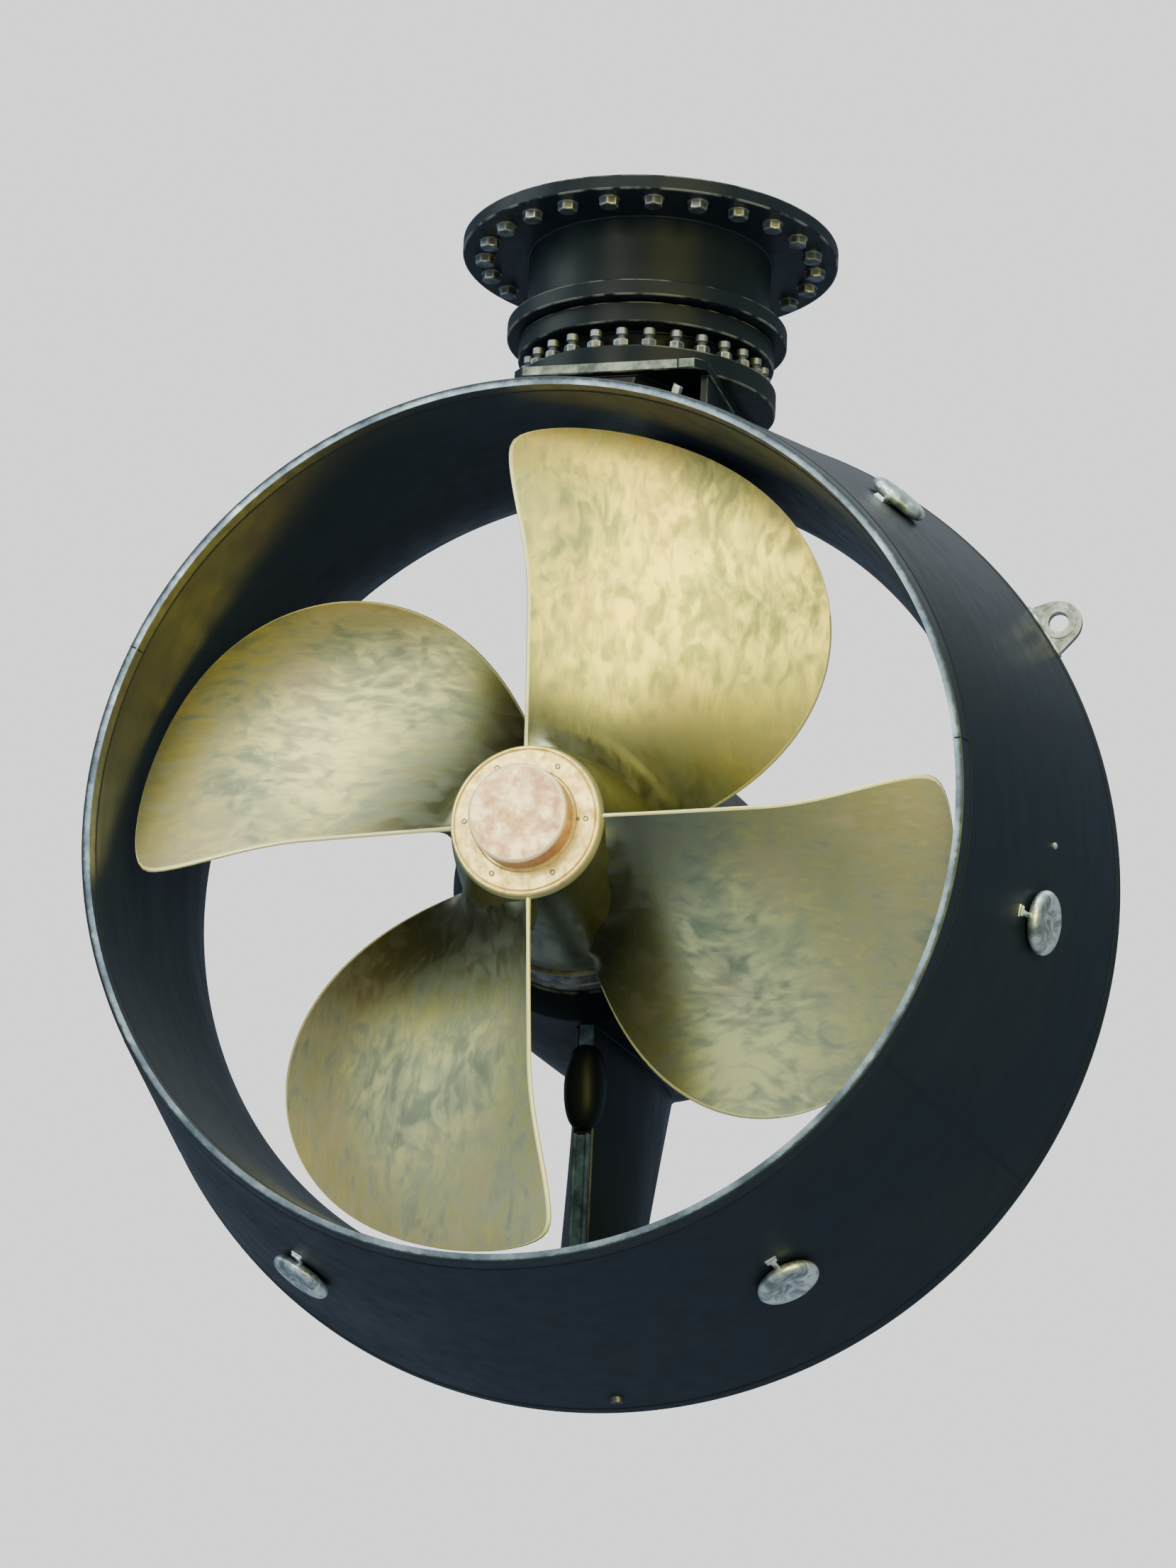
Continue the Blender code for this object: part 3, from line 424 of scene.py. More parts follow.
class Finish(Nodes):
    """A Principled material and the textures of its surface."""

    def __init__(self, name, colour, roughness, metallic=0.0, **sockets):
        self.material = bpy.data.materials.new(name)
        self.material.use_nodes = True
        super().__init__(self.material.node_tree)
        self.where = self.node("ShaderNodeTexCoord").outputs["Object"]
        self.feed(Base_Color=colour, Roughness=roughness, Metallic=metallic, **sockets)

    def feed(self, **sockets):
        """Links or sets inputs of the shader, named with _ for each space."""
        inputs = self.tree.nodes["Principled BSDF"].inputs
        for name, value in sockets.items():
            self.connect(inputs[name.replace("_", " ")], value)

    def axis(self, letter):
        """One of the object's own coordinates."""
        return self.node("ShaderNodeSeparateXYZ", self.where).outputs[letter]

    def off_axis(self):
        """Distance from the shaft's axis, for a piece whose origin is on it."""
        flat = self.vector("MULTIPLY", self.where, (1.0, 0.0, 1.0))
        return self.node("ShaderNodeVectorMath", flat, operation="LENGTH").outputs["Value"]

    def vector(self, how, first, second):
        """One arithmetic step with vectors."""
        return self.node("ShaderNodeVectorMath", first, second, operation=how).outputs["Vector"]

    def stretch(self, vector, scale, turn=(0, 0, 0)):
        """A given vector, turned and stretched."""
        moved = self.node("ShaderNodeMapping", vector)
        moved.inputs["Rotation"].default_value = turn
        moved.inputs["Scale"].default_value = scale
        return moved.outputs["Vector"]

    def noise(self, vector, scale, detail=4.0, rough=0.5, bend=0.0, output="Fac"):
        """Noise between about 0.25 and 0.75."""
        added = self.node("ShaderNodeTexNoise", vector)
        settings = {"Scale": scale, "Detail": detail, "Roughness": rough, "Distortion": bend}
        for socket, value in settings.items():
            added.inputs[socket].default_value = value
        return added.outputs[output]

    def ramp(self, value, *stops):
        """Maps a value to colours at given places."""
        added = self.node("ShaderNodeValToRGB", value)
        band = added.color_ramp
        while len(band.elements) < len(stops):
            band.elements.new(0.5)
        for element, (place, shade) in zip(band.elements, stops):
            element.position = place
            element.color = (*shade, 1.0)
        return added.outputs["Color"]

    def mix(self, share, first, second):
        """Mixes two numbers."""
        added = self.node("ShaderNodeMix", share, data_type="FLOAT")
        self.connect(added.inputs[2], first)
        self.connect(added.inputs[3], second)
        return added.outputs[0]

    def total(self, *terms):
        """The sum of (value, weight) terms."""
        parts = [self.calc("MULTIPLY", value, weight) for value, weight in terms]
        result = parts[0]
        for part in parts[1:]:
            result = self.calc("ADD", result, part)
        return result

    def rims(self):
        """1 on worn rims and 0 elsewhere."""
        return self.node("ShaderNodeAttribute", attribute_name="wear").outputs["Fac"]

    def relief(self, level, strength, distance):
        """Bump from a height."""
        added = self.node("ShaderNodeBump")
        added.inputs["Strength"].default_value = strength
        added.inputs["Distance"].default_value = distance
        self.connect(added.inputs["Height"], level)
        return added.outputs["Normal"]


# Finishes: roughness is 0.29 or more, because the denoiser draws dark squiggles where it crosses 0.27

NAVY = (0.0055, 0.0105, 0.0175)
NAVY_WORN = (0.0095, 0.0150, 0.0220)
PRIMER = (0.16, 0.18, 0.19)


def make_paint(name, matt_from=None):
    """Glossy near-black navy: brushed-on film, faint clouds, dust in the gloss, grey on worn edges.

    From the given height up, a face is matt, as one that bolts against the hull.
    """
    paint = Finish(name, NAVY, 0.3, Specular_IOR_Level=0.21)
    clouds = paint.noise(paint.where, 1.7, 2.0, 0.55)
    film = paint.noise(paint.stretch(paint.where, (1, 1, 0.35)), 15.0, 2.0, 0.5)
    tint = paint.blend(paint.span(clouds, 0.42, 0.68, 0.0, 0.75), NAVY, NAVY_WORN)
    chipped = paint.calc("MULTIPLY", paint.rims(), paint.span(film, 0.42, 0.58, 0.0, 0.55))
    rough = paint.calc("ADD", paint.span(clouds, 0.35, 0.70, 0.29, 0.40),
                       paint.span(film, 0.40, 0.65, 0.0, 0.07))
    if matt_from is not None:
        matt = paint.span(paint.axis("Z"), matt_from, matt_from + 0.002, 0.0, 0.5)
        rough = paint.calc("ADD", rough, matt)
    paint.feed(Base_Color=paint.blend(chipped, tint, PRIMER), Roughness=rough,
               Normal=paint.relief(film, 0.10, 0.0015))
    return paint.material


def make_lip_steel():
    """Lip of the nozzle: bare bluish steel, brightest on its inner edge, with a ragged paint border and painted
    shade low down.
    """
    steel = Finish("lip steel", (0.46, 0.53, 0.62), 0.34, 0.75)
    ragged = steel.noise(steel.where, 34.0, 4.0, 0.6)
    patches = steel.noise(steel.where, 5.0, 5.0, 0.65)
    border = steel.calc("ADD", steel.axis("Y"), steel.span(ragged, 0.3, 0.7, -0.0013, 0.0013))
    painted = steel.span(border, 0.0018, 0.0042, 0.0, 1.0)
    outer = steel.calc("ADD", steel.off_axis(), steel.span(ragged, 0.3, 0.7, -0.003, 0.003))
    # Darker towards the bottom is painted shade; darker near the outer radius is the paint's border.
    dull = steel.calc("MAXIMUM", steel.span(steel.axis("Z"), -1.10, 0.10, 0.50, 0.0),
                      steel.span(outer, LIP_OUTER_RADIUS - 0.017, LIP_OUTER_RADIUS - 0.006, 0.0, 0.95))
    bare = steel.ramp(patches, (0.38, (0.075, 0.12, 0.19)), (0.52, (0.20, 0.29, 0.44)),
                      (0.64, (0.39, 0.53, 0.74)))
    bare = steel.blend(dull, bare, (0.022, 0.031, 0.043))
    steel.feed(Base_Color=steel.blend(painted, bare, NAVY), Metallic=steel.span(painted, 0.0, 1.0, 0.7, 0.0),
               Roughness=steel.span(ragged, 0.35, 0.65, 0.29, 0.44), Normal=steel.relief(patches, 0.2, 0.002))
    return steel.material


def make_bronze():
    """Ground bronze of the blades: overlapping strokes, olive patches, grey roots, worn pale edges and tips
    lightened with painted light.
    """
    bronze = Finish("bronze", (0.60, 0.52, 0.26), 0.3, 1.0)
    lot = bronze.calc("MULTIPLY", bronze.node("ShaderNodeObjectInfo").outputs["Random"], 40.0)
    where = bronze.vector("ADD", bronze.where, lot)
    drift = bronze.noise(where, 3.0, 1.0, output="Color")
    bent = bronze.vector("ADD", where, bronze.vector("MULTIPLY", drift, (0.16, 0.16, 0.16)))
    fields = [bronze.noise(bronze.stretch(bent, (24.0, 9.0, 11.0), (0, lean, 0)), 1.0, 2.0, 0.5, 0.5)
              for lean in (0.15, 0.85, -0.65)]
    regions = bronze.noise(where, 6.0, 1.0, 0.5)
    strokes = bronze.mix(bronze.span(regions, 0.42, 0.48, 0.0, 1.0), fields[0], fields[1])
    strokes = bronze.mix(bronze.span(regions, 0.53, 0.58, 0.0, 1.0), strokes, fields[2])
    daubs = bronze.node("ShaderNodeTexVoronoi", bronze.stretch(bent, (24.0, 8.0, 8.0), (0, 0.3, 0)))
    daub = bronze.node("ShaderNodeSeparateXYZ", daubs.outputs["Color"]).outputs["X"]
    clouds = bronze.noise(where, 3.0, 3.0, 0.5)
    crisp = bronze.span(strokes, 0.40, 0.58, 0.0, 1.0)
    tone = bronze.total((strokes, 0.38), (clouds, 0.52), (crisp, 0.070), (daub, 0.045))
    colour = bronze.ramp(tone, (0.34, (0.27, 0.31, 0.21)), (0.45, (0.44, 0.46, 0.27)),
                         (0.54, (0.61, 0.59, 0.28)), (0.65, (0.83, 0.75, 0.29)))
    hue = bronze.noise(where, 4.5, 2.0, 0.5)
    off_axis = bronze.off_axis()
    for share, other, how in (
            (bronze.span(hue, 0.52, 0.66, 0.0, 0.3), (0.84, 0.63, 0.34), "MIX"),
            (bronze.span(hue, 0.46, 0.32, 0.0, 0.35), (0.42, 0.49, 0.27), "MIX"),
            (bronze.span(off_axis, 0.34, 0.66, 0.65, 0.0), (0.36, 0.41, 0.32), "MIX"),
            # Painted light: the blades grow lighter and paler towards their tips.
            (bronze.span(off_axis, 0.62, 1.20, 0.0, 1.0), (1.22, 1.22, 1.34), "MULTIPLY"),
            (bronze.rims(), (0.88, 0.87, 0.47), "MIX")):
        colour = bronze.blend(share, colour, other, how)
    grain = bronze.noise(bronze.stretch(where, (26.0, 7.0, 8.0), (0, 0.1, 0)), 1.0, 3.0, 0.55)
    bronze.feed(Base_Color=colour, Metallic=bronze.mix(bronze.rims(), 1.0, 0.45),
                Roughness=bronze.span(tone, 0.40, 0.60, 0.44, 0.32),
                Normal=bronze.relief(grain, 0.16, 0.0035))
    return bronze.material


def make_cap_bronze():
    """Pale gold polished bronze of the cap ring, with faint turning marks and small dull spots."""
    cap = Finish("cap bronze", (0.90, 0.66, 0.34), 0.3, 0.55)
    marks = cap.noise(cap.where, 26.0, 4.0, 0.6, 0.4)
    cap.feed(Base_Color=cap.ramp(marks, (0.33, (0.68, 0.52, 0.18)), (0.45, (0.86, 0.69, 0.27)),
                                 (0.60, (0.97, 0.82, 0.37))),
             Roughness=cap.span(marks, 0.35, 0.65, 0.42, 0.29), Normal=cap.relief(marks, 0.12, 0.001))
    return cap.material


def make_disc_bronze():
    """Copper-pink mottled disc: soft cream and rose clouds, a painted highlight on its rim and a darker copper
    side.
    """
    disc = Finish("disc bronze", (0.66, 0.45, 0.33), 0.4, 0.45)
    mottle = disc.noise(disc.where, 24.0, 3.0, 0.55)
    spots = disc.noise(disc.where, 60.0, 2.0, 0.5)
    colour = disc.ramp(mottle, (0.34, (0.74, 0.44, 0.27)), (0.48, (0.92, 0.66, 0.40)),
                       (0.64, (1.0, 0.83, 0.54)))
    colour = disc.blend(disc.span(spots, 0.50, 0.72, 0.0, 0.5), colour, (0.60, 0.36, 0.25))
    # Painted highlight: a bright cream ring on the disc's rounded rim.
    colour = disc.blend(disc.rims(), colour, (0.97, 0.82, 0.58))
    face = stations("hub_cap_disc")[0]
    side = disc.span(disc.axis("Y"), face + 0.007, face + 0.016, 0.0, 0.9)
    disc.feed(Base_Color=disc.blend(side, colour, (0.34, 0.14, 0.09)),
              Roughness=disc.span(mottle, 0.35, 0.62, 0.5, 0.34), Normal=disc.relief(mottle, 0.25, 0.0015))
    return disc.material


def make_zinc():
    """Cast zinc: bright and grey patches, a few dark scars."""
    zinc = Finish("zinc", (0.62, 0.67, 0.69), 0.4, 0.8)
    patches = zinc.noise(zinc.where, 17.0, 3.0, 0.55, 0.8)
    scars = zinc.noise(zinc.where, 34.0, 3.0, 0.55, 0.6)
    colour = zinc.ramp(patches, (0.36, (0.20, 0.26, 0.30)), (0.47, (0.45, 0.54, 0.60)),
                       (0.58, (0.76, 0.88, 0.95)))
    cast = zinc.relief(scars, 0.2, 0.002)
    zinc.tree.links.new(zinc.relief(patches, 0.4, 0.006), cast.node.inputs["Normal"])
    zinc.feed(Base_Color=zinc.blend(zinc.span(scars, 0.60, 0.68, 0.0, 0.6), colour, (0.16, 0.17, 0.17)),
              Roughness=zinc.span(patches, 0.38, 0.62, 0.45, 0.29), Normal=cast)
    return zinc.material


def make_steel(name, colour):
    """Machined steel with darker, browner spots and scuffed edges."""
    steel = Finish(name, colour, 0.4, 0.85)
    bloom = steel.noise(steel.where, 22.0, 5.0, 0.6)
    dark = [part * share for part, share in zip(colour, (0.45, 0.42, 0.40))]
    scuffed = steel.calc("MULTIPLY", steel.rims(), 0.6)
    tint = steel.ramp(bloom, (0.38, dark), (0.58, colour))
    steel.feed(Base_Color=steel.blend(scuffed, tint, [part * 1.7 for part in colour]),
               Roughness=steel.span(bloom, 0.35, 0.65, 0.52, 0.30), Normal=steel.relief(bloom, 0.15, 0.001))
    return steel.material


def make_coat(name, dark, middle, light):
    """Dull coat in three tones, rubbed through in places."""
    coat = Finish(name, middle, 0.5, Specular_IOR_Level=0.25)
    rubbed = coat.noise(coat.where, 18.0, 4.0, 0.6)
    coat.feed(Base_Color=coat.ramp(rubbed, (0.36, dark), (0.50, middle), (0.64, light)),
              Roughness=coat.span(rubbed, 0.35, 0.65, 0.60, 0.35), Normal=coat.relief(rubbed, 0.2, 0.001))
    return coat.material


# The plain steel is darker than machined steel: painted shade, as on nuts and bolts in shade under a hull.
FINISHES = {"hull_paint": make_paint("hull paint"), "lip_steel": make_lip_steel(), "bronze": make_bronze(),
            "cap_bronze": make_cap_bronze(), "disc_bronze": make_disc_bronze(), "zinc": make_zinc(),
            "steel": make_steel("steel", (0.20, 0.23, 0.27))}
MOUNT_PAINT = make_paint("mount paint", matt_from=-0.003)
SEAL_STEEL = make_steel("seal steel", (0.40, 0.42, 0.45))
SOCKET_STEEL = make_steel("socket steel", (0.17, 0.14, 0.11))
EYE_STEEL = make_steel("eye steel", (0.42, 0.49, 0.55))
DULL_ZINC = make_coat("dull zinc", (0.016, 0.036, 0.085), (0.040, 0.085, 0.19), (0.075, 0.15, 0.31))
BARE_PRIMER = make_coat("bare primer", (0.08, 0.105, 0.12), (0.20, 0.25, 0.265), (0.34, 0.40, 0.42))


# Nozzle

def inner_radius(at):
    """Inner radius of the duct."""
    if at < DIFFUSER_LENGTH:
        return THROAT_RADIUS + LIP_FLARE * ((DIFFUSER_LENGTH - at) / DIFFUSER_LENGTH) ** 1.5
    if at > THROAT_END:
        share = min(1.0, (at - THROAT_END) / INLET_LENGTH)
        return THROAT_RADIUS + INLET_FLARE * (1 - math.sqrt(1 - share * share))
    return THROAT_RADIUS


def outer_radius(at):
    """Outer radius of the duct."""
    if at <= WIDEST_STATION:
        return LIP_OUTER_RADIUS + (WIDEST_RADIUS - LIP_OUTER_RADIUS) * at / WIDEST_STATION
    share = min(1.0, (at - WIDEST_STATION) / NOSE_LENGTH)
    nose_radius = THROAT_RADIUS + INLET_FLARE
    return nose_radius + (WIDEST_RADIUS - nose_radius) * math.sqrt(1 - share * share)


def nozzle_piece(node, section, slot="hull_paint"):
    """One ring of the nozzle, which stands for a node; its ends meet other rings, so they aren't worn."""
    name = node + "_skin"
    mesh = new_mesh(name, lathe(section, NOZZLE_STEPS, closed=True))
    for wear in mesh.attributes["wear"].data:
        wear.value = 0.0
    add_piece(name, mesh, slot, node, origin=OUTLET)


def make_nozzle():
    """Lip, inner and outer skin and nose of the duct."""
    wedge = [(outer_radius(LIP_LENGTH), LIP_LENGTH), (LIP_OUTER_RADIUS, 0.0), (inner_radius(0.0), 0.0)]
    lip = rounded(wedge, LIP_ROUNDING, closed=False)
    lip += [(inner_radius(at), at) for at in (LIP_LENGTH / 3, LIP_LENGTH * 2 / 3, LIP_LENGTH)]
    nozzle_piece("nozzle_lip", lip, "lip_steel")
    inside = [(inner_radius(at), at) for at in spread(LIP_LENGTH, NOSE_BACK, 48)]
    nozzle_piece("nozzle_liner", [(radius + LINER_THICKNESS, at) for radius, at in reversed(inside)] + inside)
    shell = [(outer_radius(at), at) for at in spread(NOSE_BACK, LIP_LENGTH, 12)]
    nozzle_piece("nozzle_shell", shell + [(radius - SHELL_THICKNESS, at) for radius, at in reversed(shell)])
    quarter = [math.sin(math.pi / 2 * share) for share in spread(1.0, 0.0, 20)]
    outside = [WIDEST_STATION + NOSE_LENGTH * share for share in quarter] + [NOSE_BACK]
    reach = NOZZLE_LENGTH - NOSE_BACK
    inside = [NOSE_BACK + reach * share for share in quarter[:0:-1]]
    nozzle_piece("nozzle_nose", [(outer_radius(at), at) for at in outside]
                 + [(inner_radius(at), at) for at in inside])


# Screw

TIP_RADIUS = 1.250
PITCH = 2.133
RAKE = 0.047
TRAILING_ANGLE = -3.1
TIP_ANGLE = 20.0
ROOT_ANGLE = 80.0
TRAILING_SWEEP = 2.9
SWEEP_START = 0.55
SWEEP_END = 0.92
TIP_SQUARENESS = 65
LEADING_FULLNESS = 1.65
LEADING_ROUNDING = 2.4
BLADE_ROOT_THICKNESS = 0.085
BLADE_TIP_THICKNESS = 0.016
BLADE_EDGE = 0.010
EDGE_ROUNDING = 0.22
BLADE_OVERHANG = 0.008
BLADE_SINK = 0.028
BLADE_RIBS = 64
CHORD_STEPS = 30
FILLET_RADIUS = 0.055
FLARE_START = 0.16
FLARE_END = 0.10
THICKEST_AFT = 0.85
EDGE_SAMPLES = 2000
TIP_DENSITY = 1.35
HUB_AFT, HUB_FRONT = stations("hub")
HUB_FRONT_RADIUS = half_width("hub")
HUB_AFT_RADIUS = 0.228
HUB_KNOTS = [(HUB_AFT, HUB_AFT_RADIUS), (HUB_AFT + 0.09, HUB_AFT_RADIUS + 0.025), (HUB_AFT + 0.255, 0.290),
             (HUB_FRONT - 0.14, HUB_FRONT_RADIUS - 0.006), (HUB_FRONT, HUB_FRONT_RADIUS)]
HUB_STEPS = 128
BLADE_STATION = HUB_AFT - BLADE_OVERHANG
BLADE_ROOT_RADIUS = HUB_AFT_RADIUS - BLADE_SINK

# The blade's columns on its leading edge are worn bright, apart from its root
LEADING_COLUMNS = range(CHORD_STEPS - 2, CHORD_STEPS + 1)
LEADING_WEAR = 0.85
LEADING_ROOT = BLADE_STATION + 0.20
ROOT_CLEAN_RADIUS = 0.42


def smooth_step(low, high, value):
    """Rises smoothly from 0 at low to 1 at high."""
    share = min(1.0, max(0.0, (value - low) / (high - low)))
    return share * share * (3 - 2 * share)


def smooth_line(knots, value):
    """A smooth curve through (place, height) knots in rising order."""
    if value <= knots[0][0]:
        return knots[0][1]
    for index in range(len(knots) - 1):
        (x0, y0), (x1, y1) = knots[index], knots[index + 1]
        if value <= x1:
            before = knots[index - 1] if index > 0 else (2 * x0 - x1, 2 * y0 - y1)
            after = knots[index + 2] if index + 2 < len(knots) else (2 * x1 - x0, 2 * y1 - y0)
            slope0 = (y1 - before[1]) / (x1 - before[0]) * (x1 - x0)
            slope1 = (after[1] - y0) / (after[0] - x0) * (x1 - x0)
            t = (value - x0) / (x1 - x0)
            return ((2 * t ** 3 - 3 * t ** 2 + 1) * y0 + (t ** 3 - 2 * t ** 2 + t) * slope0
                    + (3 * t ** 2 - 2 * t ** 3) * y1 + (t ** 3 - t ** 2) * slope1)
    return knots[-1][1]


def trailing_edge(share):
    """Angle of the trailing edge in degrees: nearly straight, swept back, then round into the tip."""
    rounding = 1 - math.sqrt(max(0.0, 1 - share ** TIP_SQUARENESS))
    sweep = smooth_step(SWEEP_START, SWEEP_END, share)
    return (TIP_ANGLE + TRAILING_SWEEP) * rounding - TRAILING_SWEEP * sweep


def leading_edge(share):
    """Angle of the leading edge in degrees: widest at the root, one long curve to the tip."""
    fullness = max(0.0, 1 - share ** LEADING_FULLNESS) ** (1 / LEADING_ROUNDING)
    return TIP_ANGLE + (ROOT_ANGLE - TIP_ANGLE) * fullness


def edge_points(edge):
    """Points along one edge, one for each rib, denser towards the tip, as (radius share, degrees)."""
    root = BLADE_ROOT_RADIUS / TIP_RADIUS
    fine = [root + (1 - root) * (1 - (1 - step / EDGE_SAMPLES) ** 3) for step in range(EDGE_SAMPLES + 1)]
    places = [(share, edge(share)) for share in fine]
    lengths = [0.0]
    for (share, angle), (next_share, next_angle) in zip(places, places[1:]):
        sideways = math.radians(next_angle - angle) * next_share
        lengths.append(lengths[-1] + math.hypot(next_share - share, sideways))
    chosen = []
    index = 0
    for step in range(BLADE_RIBS):
        wanted = lengths[-1] * (1 - (1 - step / BLADE_RIBS) ** TIP_DENSITY)
        while index < len(lengths) - 2 and lengths[index + 1] < wanted:
            index += 1
        part = (wanted - lengths[index]) / (lengths[index + 1] - lengths[index])
        first, second = places[index], places[index + 1]
        chosen.append((first[0] + (second[0] - first[0]) * part, first[1] + (second[1] - first[1]) * part))
    return chosen


def blade_point(share, degrees, lift):
    """A point on the blade's driving face, or lifted off it towards its back."""
    radius = share * TIP_RADIUS
    wrap = math.radians(degrees)
    rise = PITCH / (2 * math.pi)
    slope = math.hypot(radius, rise)
    angle = math.radians(TRAILING_ANGLE) + wrap - lift * rise / slope / radius
    axial = BLADE_STATION + RAKE * radius + rise * wrap + lift * radius / slope
    return Vector((radius * math.sin(angle), axial, radius * math.cos(angle)))


def fillet(share, degrees):
    """Extra thickness where the blade flares into the hub."""
    point = blade_point(share, degrees, 0.0)
    clear = math.hypot(point.x, point.z) - smooth_line(HUB_KNOTS, point.y)
    if clear >= FILLET_RADIUS:
        return 0.0
    depth = 1 - max(0.0, clear) / FILLET_RADIUS
    return FILLET_RADIUS * (1 - math.sqrt(max(0.0, 1 - depth * depth)))


def rib(edge_low, edge_high):
    """One closed section of the blade: its face, its back and two round edges."""
    (share_t, angle_t), (share_l, angle_l) = edge_low, edge_high
    face, back = [], []
    for step in range(CHORD_STEPS + 1):
        along = 0.5 - 0.5 * math.cos(math.pi * step / CHORD_STEPS)
        share = share_t + (share_l - share_t) * along
        degrees = angle_t + (angle_l - angle_t) * along
        full = BLADE_ROOT_THICKNESS + (BLADE_TIP_THICKNESS - BLADE_ROOT_THICKNESS) * share
        lift = BLADE_EDGE + (full - BLADE_EDGE) * math.sin(math.pi * along ** THICKEST_AFT)
        flare = fillet(share, degrees) * smooth_step(0.0, FLARE_START, along)
        flare *= smooth_step(0.0, FLARE_END, 1 - along)
        face.append(blade_point(share, degrees, -flare))
        back.append(blade_point(share, degrees, lift + flare))
    for end in (0, -1):
        front, rear = face[end], back[end]
        face[end], back[end] = front.lerp(rear, EDGE_ROUNDING), rear.lerp(front, EDGE_ROUNDING)
    return face + back[::-1]


def blade_mesh():
    """One blade: a closed skin with round edges and a flared root, whose leading end isn't worn bright."""
    shape = bmesh.new()
    ribs = [rib(low, high) for low, high in zip(edge_points(trailing_edge), edge_points(leading_edge))]
    rows = skin_into(shape, ribs, capped=False)
    shape.faces.new(rows[0][::-1])
    join_rings(shape, rows[-1], [shape.verts.new(blade_point(1.0, TIP_ANGLE, BLADE_EDGE / 2))])
    mesh = new_mesh("blade_skin", shape, 50)
    for face, wear in zip(mesh.polygons, mesh.attributes["wear"].data):
        if face.center.y > LEADING_ROOT and math.hypot(face.center.x, face.center.z) < ROOT_CLEAN_RADIUS:
            wear.value = 0.0
        elif face.index % len(rows[-1]) in LEADING_COLUMNS:
            wear.value = LEADING_WEAR
    return mesh


# Cap: groove in the ring, sections of its screws and plugs, and for each kind how many there are, their
# distance from the axis, section and steps
GROOVE_INSET = 0.0125
GROOVE_DEPTH = 0.0080
SCREW_HEAD = [(0.0, -0.004), (0.0085, -0.004), (0.0085, 0.0015), (0.0075, 0.0025), (0.0045, 0.0025),
              (0.0040, -0.001), (0.0, -0.001)]
PLUG_HEAD = [(0.0, -0.004), (0.005, -0.004), (0.005, 0.004), (0.0, 0.005)]
CAP_FASTENERS = ((6, 0.183, SCREW_HEAD, 16), (2, 0.160, PLUG_HEAD, 12))


def make_hub():
    """Hub, cap ring with groove and screws, and the raised disc."""
    hub = [(0.0, HUB_FRONT), (HUB_FRONT_RADIUS - 0.010, HUB_FRONT),
           (HUB_FRONT_RADIUS - 0.003, HUB_FRONT - 0.003)]
    hub += [(smooth_line(HUB_KNOTS, at), at) for at in spread(HUB_FRONT - 0.010, HUB_AFT + 0.012, 30)]
    hub += [(HUB_AFT_RADIUS - 0.0006, HUB_AFT + 0.004), (HUB_AFT_RADIUS - 0.005, HUB_AFT), (0.0, HUB_AFT)]
    rim, radius = half_width("hub_cap_ring"), half_width("hub_cap_disc")
    aft, front = stations("hub_cap_ring")
    groove, land, bottom = rim - GROOVE_INSET, radius + 0.009, aft + GROOVE_DEPTH
    ring = [(0.0, front), (rim, front), (rim, aft + 0.004), (rim - 0.004, aft), (groove + 0.0028, aft),
            (groove + 0.0022, bottom), (groove - 0.0022, bottom), (groove - 0.0028, aft),
            (land, aft), (land - 0.003, aft + 0.003), (0.0, aft + 0.003)]
    top, foot = stations("hub_cap_disc")
    side = [(0.0, foot), (radius - 0.003, foot), (radius - 0.003, foot - 0.012), (radius, foot - 0.016)]
    disc = rounded(side, 0.003, closed=False, steps=3)[:-1]
    disc += rounded([side[-1], (radius, top), (0.0, top)], 0.010, closed=False, steps=6)
    for name, section, slot, node in (
            ("hub_body", hub, "bronze", "hub"),
            ("cap_ring", rounded(ring, 0.0015, closed=False, steps=2), "cap_bronze", "hub_cap_ring"),
            ("cap_disc", disc, "disc_bronze", "hub_cap_disc")):
        turned_piece(name, section, slot, node, steps=HUB_STEPS, body="propeller")
    shape = bmesh.new()
    for count, reach, section, steps in CAP_FASTENERS:
        for x, z in circle(reach, count):
            lathe_into(shape, section, steps, Matrix.Translation((x, aft, z)) @ FACING_AFT)
    add_piece("cap_screws", shape, "steel", body="propeller", finish=SOCKET_STEEL, origin=OUTLET)


def make_blades():
    """Four alike blades."""
    mesh = blade_mesh()
    for number in range(4):
        node = "blade_%d" % (number + 1)
        add_piece(node + "_skin", mesh, "bronze", node, body="propeller", origin=OUTLET,
                  spin=math.pi / 2 * number, weigh=False)


# Housing, leg and strut

STEERING_STATION = -OUTLET.y
LEG_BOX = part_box("leg")
PLATE_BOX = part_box("leg_top_plate")
FLARE_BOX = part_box("leg_top_flare")
HOUSING_RADIUS = half_width("gear_housing")
HOUSING_AFT, HOUSING_FRONT = stations("gear_housing")
HOUSING_FULL = STEERING_STATION + 0.150
HOUSING_TAPER = STEERING_STATION + 0.420
COVER_RADIUS = 0.440
COVER_RIM_RADIUS = half_width("housing_front_cover")
COVER_FLANGE = 0.035
COLLAR_AFT_RADIUS = 0.372
COLLAR_RADIUS = 0.435
COLLAR_END = HOUSING_AFT + 0.090
SEAL_AFT_RADIUS = 0.337
SEAL_BORE = 0.1507
GROOVE_SHARE = 0.62
LEG_HALF_WIDTH = LEG_BOX[1].x
LEG_BACK_WIDTH = 0.150
LEG_SINK = 0.225
FLARE_SPREAD = 0.040
PLATE_CHAMFER = 0.034
STRUT_HALF_WIDTH = 0.115
STRUT_BACK_WIDTH = 0.060
STRUT_BACK = 0.350
STRUT_TOP_LENGTH = 1.020
STRUT_FOOT_LENGTH = 0.310
STRUT_SINK = 0.165
STRUT_FOOT_SINK = 0.178
STRUT_TOP = height(STRUT_SINK - HOUSING_RADIUS)
STRUT_FOOT = height(-THROAT_RADIUS - STRUT_FOOT_SINK)
BOSS_FULLNESS = 0.7


